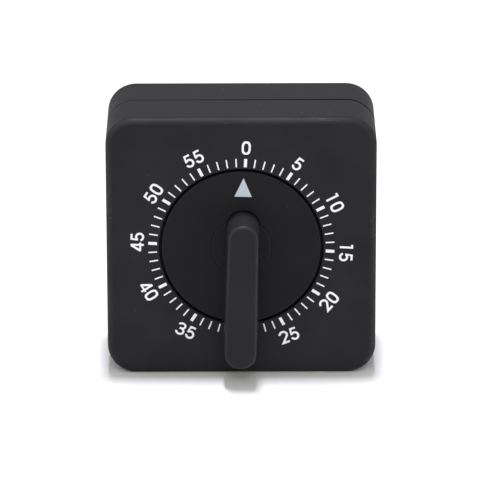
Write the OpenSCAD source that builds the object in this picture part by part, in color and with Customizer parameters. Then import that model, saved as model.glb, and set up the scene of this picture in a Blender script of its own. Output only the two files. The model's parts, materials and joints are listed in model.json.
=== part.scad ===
// Square wind-up kitchen timer: a two-part plastic case with a flush dial disc and a long
// bar handle in front, and a spring-driven clockwork with a bell behind it.
// +Z is up, the dial faces -Y, and the origin is the middle of the surface that it stands on.

/* [Case] */
// Width of the case
case_w = 70; // [70:0.5:78]
// Height of the case
case_h = 70; // [70:0.5:78]
// Depth of the front shell, from the face to the seam
front_depth = 16.4; // [14:0.1:18]
// Radius of the four upright corners, seen from the front
corner_r = 7.5; // [5:0.1:9]
// Rounding of the front face's edge
face_edge_r = 1.55; // [0.6:0.05:2]
// Rounding of the back face's edge
back_edge_r = 1; // [0.4:0.05:1.8]
// Small rounding on both sides of the seam
seam_edge_r = 0.3; // [0.1:0.05:0.5]
// Wall of the sides
side_wall = 2.2; // [1.6:0.1:2.4]
// Wall of the front face
face_wall = 2.2; // [1.8:0.1:2.6]
// Wall of the back
back_wall = 2; // [1.6:0.1:2.2]
// Thickness of the tongue that lines up the two shells
tongue_t = 0.9; // [0.6:0.05:1]
// How far the tongue reaches into the front shell
tongue_reach = 1.5; // [1:0.1:2.5]
// Gap between the tongue and the front shell
tongue_gap = 0.1; // [0.05:0.05:0.2]

/* [Case screws] */
// Distance of the case screws from the plates' edges, sideways and upwards
screw_to_plate = 2; // [1.8:0.1:2.5]
// Radius of the screw bosses
boss_r = 4; // [3.6:0.1:4.2]
// Radius of the case screws' thread
case_screw_r = 1.25; // [1:0.05:1.5]
// Radius of the case screws' heads
case_head_r = 2.5; // [2.2:0.1:2.7]
// Height of the case screws' heads
case_head_h = 1.6; // [1.2:0.1:2]
// Depth of the screw wells in the back
screw_well_depth = 4; // [3:0.1:6]
// How far the case screws reach into the front shell
case_screw_bite = 7; // [5:0.5:10]

/* [Sound slots] */
// Number of sound slots in the back
slot_count = 5; // [3:1:7]
// Length of each slot
slot_l = 18; // [10:0.5:24]
// Width of each slot
slot_w = 1.8; // [1.2:0.1:2.4]
// Distance from one slot to the next
slot_pitch = 5; // [3.5:0.1:6]

/* [Knob] */
// Radius of the dial disc
disc_r = 20.65; // [18:0.05:21]
// Gap all round the disc
disc_gap = 0.71; // [0.3:0.01:1]
// Thickness of the disc
disc_t = 2.4; // [2:0.1:2.6]
// Rounding of the disc's rim
disc_edge_r = 0.4; // [0.2:0.05:0.6]
// Depth of the well that the disc turns in
well_depth = 3; // [2.8:0.1:3.4]
// Floor of that well
well_floor_t = 1.2; // [0.9:0.1:1.5]
// Wall round that well
well_wall = 1.4; // [1:0.1:2]
// Radius of the round plate under the handle
hub_r = 7.85; // [6.5:0.05:9]
// Thickness of that plate
hub_t = 1.4; // [1:0.1:1.6]
// How far that plate stands proud of the disc
hub_proud = 0.15; // [0.05:0.05:0.3]
// How far the handle stands out from the case
handle_h = 10.3; // [7:0.1:14]
// Width of the handle at the disc
handle_w = 8.7; // [7:0.1:10]
// Narrowing of the handle from the disc to its front, on its width
handle_draft = 0.6; // [0.2:0.1:1.2]
// Extra width of the handle's lower end
handle_flare = 0.4; // [0:0.1:0.8]
// Reach of the handle above the middle of the dial
handle_top = 9.7; // [8:0.1:12]
// Reach of the handle below the middle of the dial
handle_tail = 30.5; // [24:0.1:33]
// Rounding of the handle's front edge
handle_edge_r = 1; // [0.4:0.05:1.6]
// Gap between the handle's tail and the case
tail_gap = 0.8; // [0.4:0.1:1.5]
// How far the knob is set clockwise on its arbor, in degrees
knob_turn = 1.4; // [-3:0.1:3]
// Radius of the stem under the handle
stem_r = 3.6; // [3.2:0.1:4.2]
// Depth of the socket for the arbor, from the stem's end
socket_depth = 5; // [3.5:0.1:6]

/* [Plates] */
// Margin of the plates outside the middle of the movement screws
plate_margin = 1.4; // [1.3:0.1:1.8]
// Thickness of both plates
plate_t = 1; // [0.8:0.05:1.1]
// Corner radius of the plates
plate_corner_r = 4; // [3:0.1:5]
// Distance of each pillar from the plates' edges
pillar_margin = 2.5; // [2.2:0.1:2.7]
// Radius of the pillars
pillar_r = 1.5; // [1.3:0.1:1.8]
// Radius of the pillars' riveted and threaded ends
pillar_end_r = 1; // [0.8:0.05:1.2]
// Thickness of the pillar nuts
nut_t = 1.3; // [1:0.1:1.6]
// Radius of the movement screws' threads
plate_screw_r = 0.9; // [0.7:0.05:1]
// Distance of the movement screws from the disc's well
plate_screw_margin = 2.24; // [2.1:0.01:2.6]

/* [Main arbor] */
// Radius of the main arbor
arbor_r = 2; // [1.7:0.05:2.3]
// Depth of the flat on its front end
arbor_flat = 0.6; // [0.4:0.05:0.9]
// Radius of its rear journal
rear_journal_r = 1.2; // [1:0.05:1.5]
// Width of the mainspring's strip
spring_w = 3.5; // [3:0.1:3.6]
// Thickness of the mainspring's strip
spring_t = 0.3; // [0.2:0.02:0.36]
// Outer radius of the wound strip
spring_r = 11; // [9:0.1:12]
// Number of turns of the mainspring
spring_turns = 7; // [5:1:8]
// Radius of the trip cam
cam_r = 7; // [6:0.1:7.4]
// Depth of the notch in the trip cam
notch_depth = 2; // [1.6:0.1:2.4]

/* [Wheels] */
// Pitch radius of the main wheel
main_wheel_r = 15; // [15:0.1:15.3]
// Pitch radius of the second wheel
second_wheel_r = 12; // [11.6:0.1:12]
// Pitch radius of the third wheel
third_wheel_r = 9; // [8.6:0.1:9]
// Pitch radius of the fourth wheel
fourth_wheel_r = 8.5; // [8.2:0.1:8.5]
// Play between meshing teeth, along the pitch circle
tooth_gap = 0.1; // [0.06:0.01:0.14]
// Thickness of the main wheel
main_wheel_t = 1; // [0.8:0.05:1.1]
// Thickness of the lighter wheels
wheel_t = 0.7; // [0.5:0.05:0.8]
// Radius of the train's arbors
train_arbor_r = 0.8; // [0.7:0.05:0.95]
// Radius of the pivots at their ends
pivot_r = 0.5; // [0.4:0.05:0.6]
// Radius of the escape wheel
escape_r = 6; // [5.5:0.1:6]
// Distance from the escape wheel to the balance
balance_distance = 8; // [8:0.05:8.4]
// Radius of the balance wheel
balance_r = 5.5; // [5:0.1:5.6]
// Radius of the strike wheel
strike_r = 5.2; // [5:0.1:5.3]
// Distance from the strike wheel to the hammer's arbor
verge_distance = 8.6; // [8.6:0.05:9]

/* [Bell] */
// Radius of the bell
bell_r = 19; // [18:0.1:19.5]
// Height of the bell
bell_h = 6.5; // [6:0.1:7]
// Thickness of the bell's metal
bell_t = 1; // [0.7:0.05:1.2]
// Height of the bell's middle above the main arbor
bell_rise = 9; // [8.8:0.1:10]
// Gap between the rear plate and the bell's rim
bell_gap = 2.3; // [2.2:0.1:2.5]
// Radius of the hammer's head
hammer_head_r = 2.2; // [1.8:0.1:2.4]
// Angle that the hammer swings from rest to the bell
hammer_swing = 8; // [6:0.5:8]

/* [Clearances] */
// Radial running clearance of a pivot or journal in its hole
running_gap = 0.05; // [0.03:0.01:0.08]
// Radial gap of a pressed or screwed seat
seat_gap = 0.02; // [0.01:0.005:0.03]
// Gap between parts that pass each other along the arbors
pass_gap = 0.5; // [0.4:0.05:0.55]
// Gap between the pallet pins and the circle of the teeth at mid-swing
pin_gap = 0.15; // [0.1:0.01:0.2]

/* [Hidden] */
$fn = 64;
edge_steps = 6;
back_edge_steps = 4;
pin_sides = 24;

// colours
case_black = [0.18, 0.18, 0.19];
knob_black = [0.16, 0.16, 0.165];
brass = [0.78, 0.64, 0.33];
steel = [0.66, 0.67, 0.69];
spring_blue = [0.3, 0.34, 0.42];
bell_grey = [0.74, 0.74, 0.72];

// How far a cut runs past the surface that it opens, and how far joined shapes overlap.
past = 1;
overlap = 0.5;

// play of shafts between the plates, and what stands out past a plate, a wheel or a nut
end_play = 0.1;
stand_out = 0.3;

// thicknesses and gaps along the arbors
clutch_t = 0.5;
cam_hub_t = 0.6;
cam_t = 1;
cam_to_second = 0.8;
leaf_extra = 0.7;
leaf_to_plate = 0.3;
main_to_third = 0.9;
escape_wheel_t = 0.6;
cam_to_escape = 0.3;
yoke_t = 0.6;
bell_nut_t = 1.5;
back_gap = 0.5;
hammer_t = 0.8;
hammer_gap = 0.6;
balance_t = 1.6;

// The case is as deep as the clockwork and the bell behind it need.
plates_apart = 3 * pass_gap + spring_w + main_wheel_t + clutch_t + cam_hub_t + cam_t
    + cam_to_second + 2 * wheel_t + 2 * leaf_extra + leaf_to_plate;
case_depth = well_depth + well_floor_t + 2 * plate_t + plates_apart
    + bell_gap + bell_h + bell_nut_t + back_gap + back_wall;

// levels along Y, from the front to the back
dial_z = case_h / 2;
face_y = -case_depth / 2;
back_y = case_depth / 2;
seam_y = face_y + front_depth;
inner_face_y = face_y + face_wall;
inner_back_y = back_y - back_wall;
well_floor_y = face_y + well_depth;
disc_back_y = face_y + disc_t;
front_plate_y = well_floor_y + well_floor_t;
bay_y = front_plate_y + plate_t;
spring_y = bay_y + pass_gap;
main_wheel_y = spring_y + spring_w + pass_gap;
clutch_y = main_wheel_y + main_wheel_t;
cam_y = clutch_y + clutch_t + cam_hub_t;
second_wheel_y = cam_y + cam_t + cam_to_second;
third_wheel_y = clutch_y + main_to_third;
fourth_wheel_y = second_wheel_y + wheel_t + leaf_extra + pass_gap;
escape_wheel_y = cam_y + cam_t + cam_to_escape;
yoke_y = escape_wheel_y - yoke_t - cam_to_escape;
rear_plate_y = bay_y + plates_apart;
rear_plate_back_y = rear_plate_y + plate_t;
bell_rim_y = rear_plate_back_y + bell_gap;
bell_top_y = bell_rim_y + bell_h;
hammer_y = rear_plate_back_y + hammer_gap;

// inside of the case
inner_w = case_w - 2 * side_wall;
inner_h = case_h - 2 * side_wall;
inner_corner_r = corner_r - side_wall;

// knob
well_r = disc_r + disc_gap;
stem_to_disc = 0.3;
arbor_to_socket = 0.4;
hub_y = face_y - hub_proud;
hub_back_y = hub_y + hub_t;
stem_end_y = disc_back_y + stem_to_disc;
handle_front_y = face_y - handle_h;
arbor_front_y = stem_end_y - socket_depth + arbor_to_socket;
handle_end_r = handle_w / 2;
tail_end_r = (handle_w + handle_flare) / 2;
tail_root_r = disc_r - 1;

// plates and what fastens them
plate_screw_ring = well_r + plate_screw_margin;
plate_w = 2 * (plate_screw_ring + plate_margin);
pillar_offset = plate_w / 2 - pillar_margin;
screw_offset = plate_w / 2 + screw_to_plate;
boss_gap = 0.2;
plate_boss_r = plate_screw_r + 2.2;
screw_skin = 1.2;
screw_end_gap = 0.2;
screw_play = 0.25;
head_play = 0.3;
plate_screw_play = 0.15;
arbor_passage = 0.4;
bush_wall = 1;
bush_flange_w = 0.6;
nut_r_per_thread = 2;

// gear teeth
pinion_leaves = 10;
main_teeth = 60;
second_teeth = 60;
third_teeth = 50;
fourth_teeth = 50;
escape_teeth = 18;
strike_teeth = 10;
pressure_angle = 25;
addendum = 0.7;
dedendum = 0.95;
flank_steps = 3;

// pointed teeth: their depth, and half their width in degrees at the tip and at the root
point_depth = 1.3;
escape_tip_half = 1.2;
escape_root_half = 4.5;
strike_tip_half = 2;
strike_root_half = 8;

// Every train arbor stands on one ring round the main arbor, a mesh distance from the last.
function mesh_distance(teeth, pitch_r) = pitch_r * (1 + pinion_leaves / teeth);
ring_r = mesh_distance(main_teeth, main_wheel_r);
function ring_step(distance) = 2 * asin(distance / (2 * ring_r));
function clock_point(r, clock) = [r * sin(clock), -r * cos(clock)];

second_clock = 310;
third_clock = second_clock + ring_step(mesh_distance(second_teeth, second_wheel_r));
fourth_clock = third_clock + ring_step(mesh_distance(third_teeth, third_wheel_r));
escape_clock = fourth_clock + ring_step(mesh_distance(fourth_teeth, fourth_wheel_r));
balance_clock = escape_clock + ring_step(balance_distance);
strike_clock = 230;
hammer_clock = strike_clock - ring_step(verge_distance);
trip_clock = 140;

main_at = [0, 0];
second_at = clock_point(ring_r, second_clock);
third_at = clock_point(ring_r, third_clock);
fourth_at = clock_point(ring_r, fourth_clock);
escape_at = clock_point(ring_r, escape_clock);
balance_at = clock_point(ring_r, balance_clock);
strike_at = clock_point(ring_r, strike_clock);
hammer_at = clock_point(ring_r, hammer_clock);
trip_at = clock_point(ring_r, trip_clock);
train_ats = [second_at, third_at, fourth_at, escape_at, balance_at, strike_at, trip_at];

function direction(from, to) = atan2(to[1] - from[1], to[0] - from[0]);

// Turn that puts a pinion's leaves in mesh with a wheel whose first tooth points along +X.
function mesh_phase(from, to, teeth) =
    direction(from, to) * (1 + teeth / pinion_leaves) + 180 + 180 / pinion_leaves;

// Outline of a gear with stub involute teeth.
function involute(base_r, r) =
    r <= base_r ? 0 : let (t = sqrt(pow(r / base_r, 2) - 1)) t * 180 / PI - atan(t);
function flank_r(root_r, tip_r, k) = root_r + (tip_r - root_r) * k / flank_steps;
function gear_outline(teeth, pitch_r) =
    let (
        module_size = 2 * pitch_r / teeth,
        base_r = pitch_r * cos(pressure_angle),
        root_r = pitch_r - dedendum * module_size,
        tip_r = pitch_r + addendum * module_size,
        half = 90 / teeth - tooth_gap / 4 / pitch_r * 180 / PI + involute(base_r, pitch_r)
    )
    [
        for (tooth = [0 : teeth - 1])
            for (side = [-1, 1])
                for (k = [0 : flank_steps])
                    let (
                        r = flank_r(root_r, tip_r, side < 0 ? k : flank_steps - k),
                        a = tooth * 360 / teeth + side * (half - involute(base_r, r))
                    )
                    [r * cos(a), r * sin(a)]
    ];

// Outline of a wheel with pointed teeth, such as an escape wheel.
function pointed_outline(teeth, tip_r, root_r, tip_half, root_half) = [
    for (tooth = [0 : teeth - 1])
        for (p = [[root_r, -root_half], [tip_r, -tip_half], [tip_r, tip_half], [root_r, root_half]])
            let (a = tooth * 360 / teeth + p[1]) [p[0] * cos(a), p[0] * sin(a)]
];

// Quarter round from one direction to the next, as points of a profile.
function arc_points(centre, r, from, to, steps) = [
    for (k = [0 : steps])
        let (a = from + (to - from) * k / steps) centre + r * [cos(a), sin(a)]
];

// ---------- building blocks ----------

// Turns the dial's own frame, with X to the right, Y down and Z into the case, into the part's.
module on_dial() translate([0, 0, dial_z]) rotate([-90, 0, 0]) children();

// A post or hole along the dial's axis, from one level to another.
module post(r, from, to, at = [0, 0]) {
    translate([at[0], at[1], from])
        cylinder(r = r, h = to - from);
}

// A slab with rounded corners whose front and back edges are rounded too.
module rounded_slab(w, h, from, to, r, front_r = 0, back_r = 0) {
    profile = concat(
        [[0, from]],
        front_r > 0 ? arc_points([r - front_r, from + front_r], front_r, -90, 0, edge_steps) : [[r, from]],
        back_r > 0 ? arc_points([r - back_r, to - back_r], back_r, 0, 90, back_edge_steps) : [[r, to]],
        [[0, to]]
    );
    hull()
        for (sx = [-1, 1], sy = [-1, 1])
            translate([sx * (w / 2 - r), sy * (h / 2 - r), 0])
                rotate_extrude()
                    polygon(profile);
}

// A plate with rounded corners, made of true flats and rounds.
module plate_blank(w, t, r, at) {
    translate([0, 0, at]) {
        translate([-w / 2 + r, -w / 2, 0])
            cube([w - 2 * r, w, t]);
        translate([-w / 2, -w / 2 + r, 0])
            cube([w, w - 2 * r, t]);
        for (sx = [-1, 1], sy = [-1, 1])
            translate([sx * (w / 2 - r), sy * (w / 2 - r), 0])
                cylinder(r = r, h = t);
    }
}

// Four copies, one towards each corner.
module at_corners(offset) {
    for (sx = [-1, 1], sy = [-1, 1])
        translate([sx * offset, sy * offset, 0])
            children();
}

// Three copies for the movement screws.
module at_plate_screws() {
    for (clock = [0, 120, 240])
        translate(concat(clock_point(plate_screw_ring, clock), 0))
            children();
}

// A turned shaft: each step is a radius and the level where that radius ends.
module turned(from, steps) {
    rotate_extrude()
        polygon(concat(
            [[0, from]],
            [
                for (i = [0 : len(steps) - 1])
                    for (level = [i == 0 ? from : steps[i - 1][1], steps[i][1]])
                        [steps[i][0], level]
            ],
            [[0, steps[len(steps) - 1][1]]]
        ));
}

// A round bar with a flat along one side.
module d_bar(r, flat, from, to) {
    difference() {
        post(r, from, to);
        translate([-r, -r - past, from - past])
            cube([2 * r, flat + past, to - from + 2 * past]);
    }
}

// A toothed wheel with lightening holes.
module toothed_wheel(teeth, pitch_r, t, bore_r, holes) {
    hole_r = pitch_r * 0.2;
    hole_ring_r = pitch_r * 0.56;
    linear_extrude(t)
        difference() {
            polygon(gear_outline(teeth, pitch_r));
            circle(bore_r);
            for (i = [0 : holes - 1])
                rotate(i * 360 / holes)
                    translate([hole_ring_r, 0])
                        circle(hole_r);
        }
}

// The leaves of a pinion round its arbor.
module pinion(pitch_r, from, to, phase) {
    translate([0, 0, from])
        rotate(phase)
            linear_extrude(to - from)
                polygon(gear_outline(pinion_leaves, pitch_r));
}

// A thin arbor with a pivot in each plate.
module train_arbor(at) {
    translate(concat(at, 0))
        turned(front_plate_y + end_play, [
            [pivot_r, bay_y + end_play],
            [train_arbor_r, rear_plate_y - end_play],
            [pivot_r, rear_plate_back_y]
        ]);
}

// A coiled torsion spring round an arbor, with a straight leg at each end.
module torsion_spring(at, from, leg_l, turn) {
    wire_r = 0.2;
    coil_r = train_arbor_r + 3 * wire_r;
    pitch = 0.5;
    turns = 3.5;
    turned_by = turns * 360;
    sides = 8;
    step = 20;
    last = turned_by / step;
    function coil_ring(centre_r, a, level, along) = [
        for (k = [0 : sides - 1])
            let (
                w = k * 360 / sides,
                r = centre_r + wire_r * cos(w)
            )
            [
                r * cos(a) - along * sin(a),
                r * sin(a) + along * cos(a),
                level + wire_r * sin(w)
            ]
    ];
    rings = concat(
        [coil_ring(coil_r, 0, 0, -leg_l)],
        [for (i = [0 : last]) coil_ring(coil_r, i * step, pitch * i * step / 360, 0)],
        [coil_ring(coil_r, turned_by, pitch * turned_by / 360, leg_l)]
    );
    count = len(rings);
    points = [for (ring = rings) for (p = ring) p];
    faces = concat(
        [[for (k = [sides - 1 : -1 : 0]) k]],
        [
            for (i = [0 : count - 2], k = [0 : sides - 1])
                let (next = (k + 1) % sides)
                [i * sides + k, i * sides + next, (i + 1) * sides + next, (i + 1) * sides + k]
        ],
        [[for (k = [0 : sides - 1]) (count - 1) * sides + k]]
    );
    translate(concat(at, from + wire_r))
        rotate(turn)
            polyhedron(points, faces);
}

// ---------- case ----------

module front_shell() {
    color(case_black)
        on_dial()
            difference() {
                union() {
                    difference() {
                        rounded_slab(case_w, case_h, face_y, seam_y, corner_r, face_edge_r, seam_edge_r);
                        rounded_slab(inner_w, inner_h, inner_face_y, seam_y + past, inner_corner_r);
                    }
                    post(well_r + well_wall, inner_face_y - overlap, front_plate_y);
                    at_plate_screws()
                        post(plate_boss_r, inner_face_y - overlap, front_plate_y);
                    at_corners(screw_offset)
                        post(boss_r, inner_face_y - overlap, seam_y);
                }
                post(well_r, face_y - past, well_floor_y);
                post(arbor_r + arbor_passage, face_y, front_plate_y + past);
                at_plate_screws()
                    post(plate_screw_r + seat_gap, face_y + screw_skin, front_plate_y + past);
                at_corners(screw_offset)
                    post(case_screw_r + seat_gap, seam_y - case_screw_bite - past, seam_y + past);
            }
}

module rear_shell() {
    tongue_w = inner_w - 2 * tongue_gap;
    tongue_h = inner_h - 2 * tongue_gap;
    tongue_r = inner_corner_r - tongue_gap;
    mouth_w = tongue_w - 2 * tongue_t;
    mouth_h = tongue_h - 2 * tongue_t;
    mouth_r = tongue_r - tongue_t;
    tongue_y = seam_y - tongue_reach;
    root_y = seam_y + tongue_reach;
    color(case_black)
        on_dial()
            difference() {
                union() {
                    difference() {
                        rounded_slab(case_w, case_h, seam_y, back_y, corner_r, seam_edge_r, back_edge_r);
                        rounded_slab(inner_w, inner_h, root_y, inner_back_y, inner_corner_r);
                        rounded_slab(mouth_w, mouth_h, seam_y - past, root_y + past, mouth_r);
                    }
                    difference() {
                        rounded_slab(tongue_w, tongue_h, tongue_y, seam_y + overlap, tongue_r);
                        rounded_slab(mouth_w, mouth_h, tongue_y - past, root_y, mouth_r);
                    }
                    at_corners(screw_offset)
                        post(boss_r, seam_y, inner_back_y + overlap);
                }
                at_corners(screw_offset)
                    post(boss_r + boss_gap, tongue_y - past, seam_y);
                at_corners(screw_offset) {
                    post(case_screw_r + screw_play, seam_y - past, back_y);
                    post(case_head_r + head_play, back_y - screw_well_depth, back_y + past);
                }
                sound_slots();
            }
}

module sound_slots() {
    for (i = [0 : slot_count - 1])
        translate([0, (i - (slot_count - 1) / 2) * slot_pitch, inner_back_y - past]) {
            translate([-slot_l / 2 + slot_w / 2, -slot_w / 2, 0])
                cube([slot_l - slot_w, slot_w, back_wall + 2 * past]);
            for (side = [-1, 1])
                translate([side * (slot_l - slot_w) / 2, 0, 0])
                    cylinder(r = slot_w / 2, h = back_wall + 2 * past);
        }
}

module case_screws() {
    head_y = back_y - screw_well_depth;
    drive_l = case_head_r * 1.2;
    drive_w = 0.5;
    drive_y = head_y + case_head_h * 0.45;
    color(steel)
        on_dial()
            at_corners(screw_offset)
                difference() {
                    turned(seam_y - case_screw_bite, [
                        [case_screw_r, head_y],
                        [case_head_r, head_y + case_head_h]
                    ]);
                    for (turn = [0, 90])
                        rotate(turn)
                            translate([-drive_l / 2, -drive_w / 2, drive_y])
                                cube([drive_l, drive_w, case_head_h]);
                }
}

// ---------- knob ----------

module knob_disc() {
    rim = arc_points([disc_r - disc_edge_r, face_y + disc_edge_r],
        disc_edge_r, -90, 0, edge_steps);
    color(knob_black)
        on_dial()
            difference() {
                rotate_extrude()
                    polygon(concat([[0, face_y]], rim, [[disc_r, disc_back_y], [0, disc_back_y]]));
                post(hub_r + seat_gap, face_y - past, hub_back_y);
                post(stem_r + seat_gap, face_y, disc_back_y + past);
            }
}

module handle_end(at_y, base_r) {
    front_r = base_r - handle_draft / 2;
    edge = arc_points([front_r - handle_edge_r, handle_front_y + handle_edge_r],
        handle_edge_r, -90, 0, edge_steps);
    translate([0, at_y, 0])
        rotate_extrude()
            polygon(concat([[0, handle_front_y]], edge, [[base_r, face_y], [0, face_y]]));
}

module knob_handle() {
    color(knob_black)
        on_dial()
            rotate(knob_turn)
                difference() {
                    union() {
                        difference() {
                            hull() {
                                handle_end(-handle_top + handle_end_r, handle_end_r);
                                handle_end(handle_tail - tail_end_r, tail_end_r);
                            }
                            difference() {
                                post(handle_tail + past, face_y - tail_gap, face_y + past);
                                post(tail_root_r, face_y - tail_gap - past, face_y + 2 * past);
                            }
                        }
                        post(hub_r, hub_y, hub_back_y);
                        post(stem_r, hub_back_y - overlap, stem_end_y);
                    }
                    d_bar(arbor_r + running_gap, arbor_flat,
                        stem_end_y - socket_depth, stem_end_y + past);
                }
}

// ---------- plates ----------

module front_hole(r, at = [0, 0]) post(r, front_plate_y - past, bay_y + past, at);

module rear_hole(r, at = [0, 0]) post(r, rear_plate_y - past, rear_plate_back_y + past, at);

module front_plate() {
    color(steel)
        on_dial()
            difference() {
                plate_blank(plate_w, plate_t, plate_corner_r, front_plate_y);
                front_hole(arbor_r + bush_wall + seat_gap);
                for (at = concat(train_ats, [hammer_at]))
                    front_hole(pivot_r + running_gap, at);
                at_corners(pillar_offset)
                    front_hole(pillar_end_r + seat_gap);
                at_plate_screws()
                    front_hole(plate_screw_r + plate_screw_play);
                front_hole(post_pin_r + seat_gap, spring_post_at);
            }
}

module rear_plate() {
    color(steel)
        on_dial()
            difference() {
                plate_blank(plate_w, plate_t, plate_corner_r, rear_plate_y);
                rear_hole(rear_journal_r + bush_wall + seat_gap);
                for (at = train_ats)
                    rear_hole(pivot_r + running_gap, at);
                rear_hole(train_arbor_r + running_gap, hammer_at);
                at_corners(pillar_offset)
                    rear_hole(pillar_end_r + seat_gap);
                rear_hole(bell_post_pin_r + seat_gap, bell_at);
            }
}

module pillars() {
    color(brass)
        on_dial()
            at_corners(pillar_offset)
                turned(front_plate_y, [
                    [pillar_end_r, bay_y],
                    [pillar_r, rear_plate_y],
                    [pillar_end_r, rear_plate_back_y + nut_t + stand_out]
                ]);
}

module pillar_nuts() {
    color(steel)
        on_dial()
            at_corners(pillar_offset)
                difference() {
                    translate([0, 0, rear_plate_back_y])
                        cylinder(r = pillar_end_r * nut_r_per_thread, h = nut_t, $fn = 6);
                    post(pillar_end_r + seat_gap,
                        rear_plate_back_y - past, rear_plate_back_y + nut_t + past);
                }
}

module movement_screws() {
    head_r = plate_screw_r * 2;
    head_h = 1.1;
    drive_w = 0.4;
    thread_from = face_y + screw_skin + screw_end_gap;
    color(steel)
        on_dial()
            at_plate_screws()
                difference() {
                    turned(thread_from, [[plate_screw_r, bay_y], [head_r, bay_y + head_h]]);
                    translate([-head_r - past, -drive_w / 2, bay_y + head_h / 2])
                        cube([2 * (head_r + past), drive_w, head_h]);
                }
}

module arbor_bushes() {
    flange_t = 0.35;
    front_r = arbor_r + bush_wall;
    rear_r = rear_journal_r + bush_wall;
    color(brass)
        on_dial() {
            difference() {
                turned(front_plate_y, [
                    [front_r, bay_y],
                    [front_r + bush_flange_w, bay_y + flange_t]
                ]);
                front_hole(arbor_r + running_gap);
            }
            difference() {
                turned(rear_plate_y - flange_t, [
                    [rear_r + bush_flange_w, rear_plate_y],
                    [rear_r, rear_plate_back_y]
                ]);
                rear_hole(rear_journal_r + running_gap);
            }
        }
}

// ---------- main arbor ----------

spring_core_r = arbor_r + 0.4;
collar_r = arbor_r + 1.2;
collar_t = 0.3;
clutch_ring_r = arbor_r + 1.6;
cam_hub_r = arbor_r + 1.4;
post_pin_r = 0.6;
spring_post_r = 0.9;
spring_post_at = [0, spring_r + seat_gap + spring_post_r];

module main_arbor() {
    flat = arbor_flat + running_gap;
    color(steel)
        on_dial()
            difference() {
                turned(arbor_front_y, [
                    [arbor_r, spring_y - end_play],
                    [spring_core_r, main_wheel_y - collar_t],
                    [collar_r, main_wheel_y],
                    [arbor_r, cam_y + cam_t + stand_out],
                    [rear_journal_r, rear_plate_back_y + stand_out]
                ]);
                rotate(knob_turn)
                    translate([-arbor_r - past, -arbor_r - past, arbor_front_y - past])
                        cube([2 * (arbor_r + past), flat + past, well_floor_y - arbor_front_y + past]);
            }
}

module main_wheel() {
    color(brass)
        on_dial()
            translate([0, 0, main_wheel_y])
                toothed_wheel(main_teeth, main_wheel_r, main_wheel_t, arbor_r + seat_gap, 6);
}

module clutch_spring() {
    arm_l = 6;
    arm_w = 2.2;
    color(steel)
        on_dial()
            translate([0, 0, clutch_y])
                linear_extrude(clutch_t)
                    difference() {
                        union() {
                            circle(clutch_ring_r);
                            for (turn = [0, 120, 240])
                                rotate(turn)
                                    translate([0, -arm_w / 2])
                                        square([arm_l, arm_w]);
                        }
                        circle(arbor_r + seat_gap);
                    }
}

module mainspring() {
    step = 12;
    from_r = spring_core_r + seat_gap + spring_t / 2;
    to_r = spring_r - spring_t / 2;
    last = spring_turns * 360;
    function coil_r(a) = from_r + (to_r - from_r) * a / last;
    function strip(side) = [
        for (a = [0 : step : last])
            (coil_r(a) + side * spring_t / 2) * [cos(a + 90), sin(a + 90)]
    ];
    inner = strip(-1);
    outer = strip(1);
    color(spring_blue)
        on_dial()
            translate([0, 0, spring_y])
                linear_extrude(spring_w)
                    polygon(concat(outer, [for (i = [len(inner) - 1 : -1 : 0]) inner[i]]));
}

module spring_post() {
    color(steel)
        on_dial()
            translate(concat(spring_post_at, 0))
                turned(front_plate_y, [[post_pin_r, bay_y], [spring_post_r, spring_y + spring_w]]);
}

// The lever's arm passes outside the cam, and its finger reaches in to the cam's rim.
nose_r = 0.7;
finger_l = 2.2;
nose_from_main = cam_r + nose_r + pin_gap;
elbow_from_main = nose_from_main + finger_l;
trip_arm_l = sqrt(ring_r * ring_r - elbow_from_main * elbow_from_main);
nose_clock = trip_clock - acos(elbow_from_main / ring_r);
nose_at = clock_point(nose_from_main, nose_clock);
elbow_at = clock_point(elbow_from_main, nose_clock);
notch_half = 16;

module trip_cam() {
    far = cam_r + 2 * past;
    a = nose_clock - 90;
    color(brass)
        on_dial()
            difference() {
                union() {
                    post(cam_r, cam_y, cam_y + cam_t);
                    post(cam_hub_r, cam_y - cam_hub_t, cam_y + cam_t);
                }
                post(arbor_r + seat_gap, cam_y - cam_hub_t - past, cam_y + cam_t + past);
                translate([0, 0, cam_y - past])
                    linear_extrude(cam_t + 2 * past)
                        difference() {
                            polygon([
                                [0, 0],
                                [far * cos(a - notch_half), far * sin(a - notch_half)],
                                [far * cos(a + notch_half), far * sin(a + notch_half)]
                            ]);
                            circle(cam_r - notch_depth);
                        }
            }
}

// ---------- train ----------

module pinion_arbor(at, from_at, teeth, wheel_r, wheel_y, thickness) {
    color(steel)
        on_dial()
            union() {
                train_arbor(at);
                translate(concat(at, 0))
                    pinion(wheel_r * pinion_leaves / teeth, wheel_y - leaf_extra,
                        wheel_y + thickness + leaf_extra, mesh_phase(from_at, at, teeth));
            }
}

module train_wheel(at, teeth, wheel_r, wheel_y) {
    color(brass)
        on_dial()
            translate(concat(at, wheel_y))
                toothed_wheel(teeth, wheel_r, wheel_t, train_arbor_r + seat_gap, 5);
}

module second_arbor()
    pinion_arbor(second_at, main_at, main_teeth, main_wheel_r, main_wheel_y, main_wheel_t);

module second_wheel() train_wheel(second_at, second_teeth, second_wheel_r, second_wheel_y);

module third_arbor()
    pinion_arbor(third_at, second_at, second_teeth, second_wheel_r, second_wheel_y, wheel_t);

module third_wheel() train_wheel(third_at, third_teeth, third_wheel_r, third_wheel_y);

module fourth_arbor()
    pinion_arbor(fourth_at, third_at, third_teeth, third_wheel_r, third_wheel_y, wheel_t);

module fourth_wheel() train_wheel(fourth_at, fourth_teeth, fourth_wheel_r, fourth_wheel_y);

module escape_arbor()
    pinion_arbor(escape_at, fourth_at, fourth_teeth, fourth_wheel_r, fourth_wheel_y, wheel_t);

module strike_arbor()
    pinion_arbor(strike_at, main_at, main_teeth, main_wheel_r, main_wheel_y, main_wheel_t);

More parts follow.
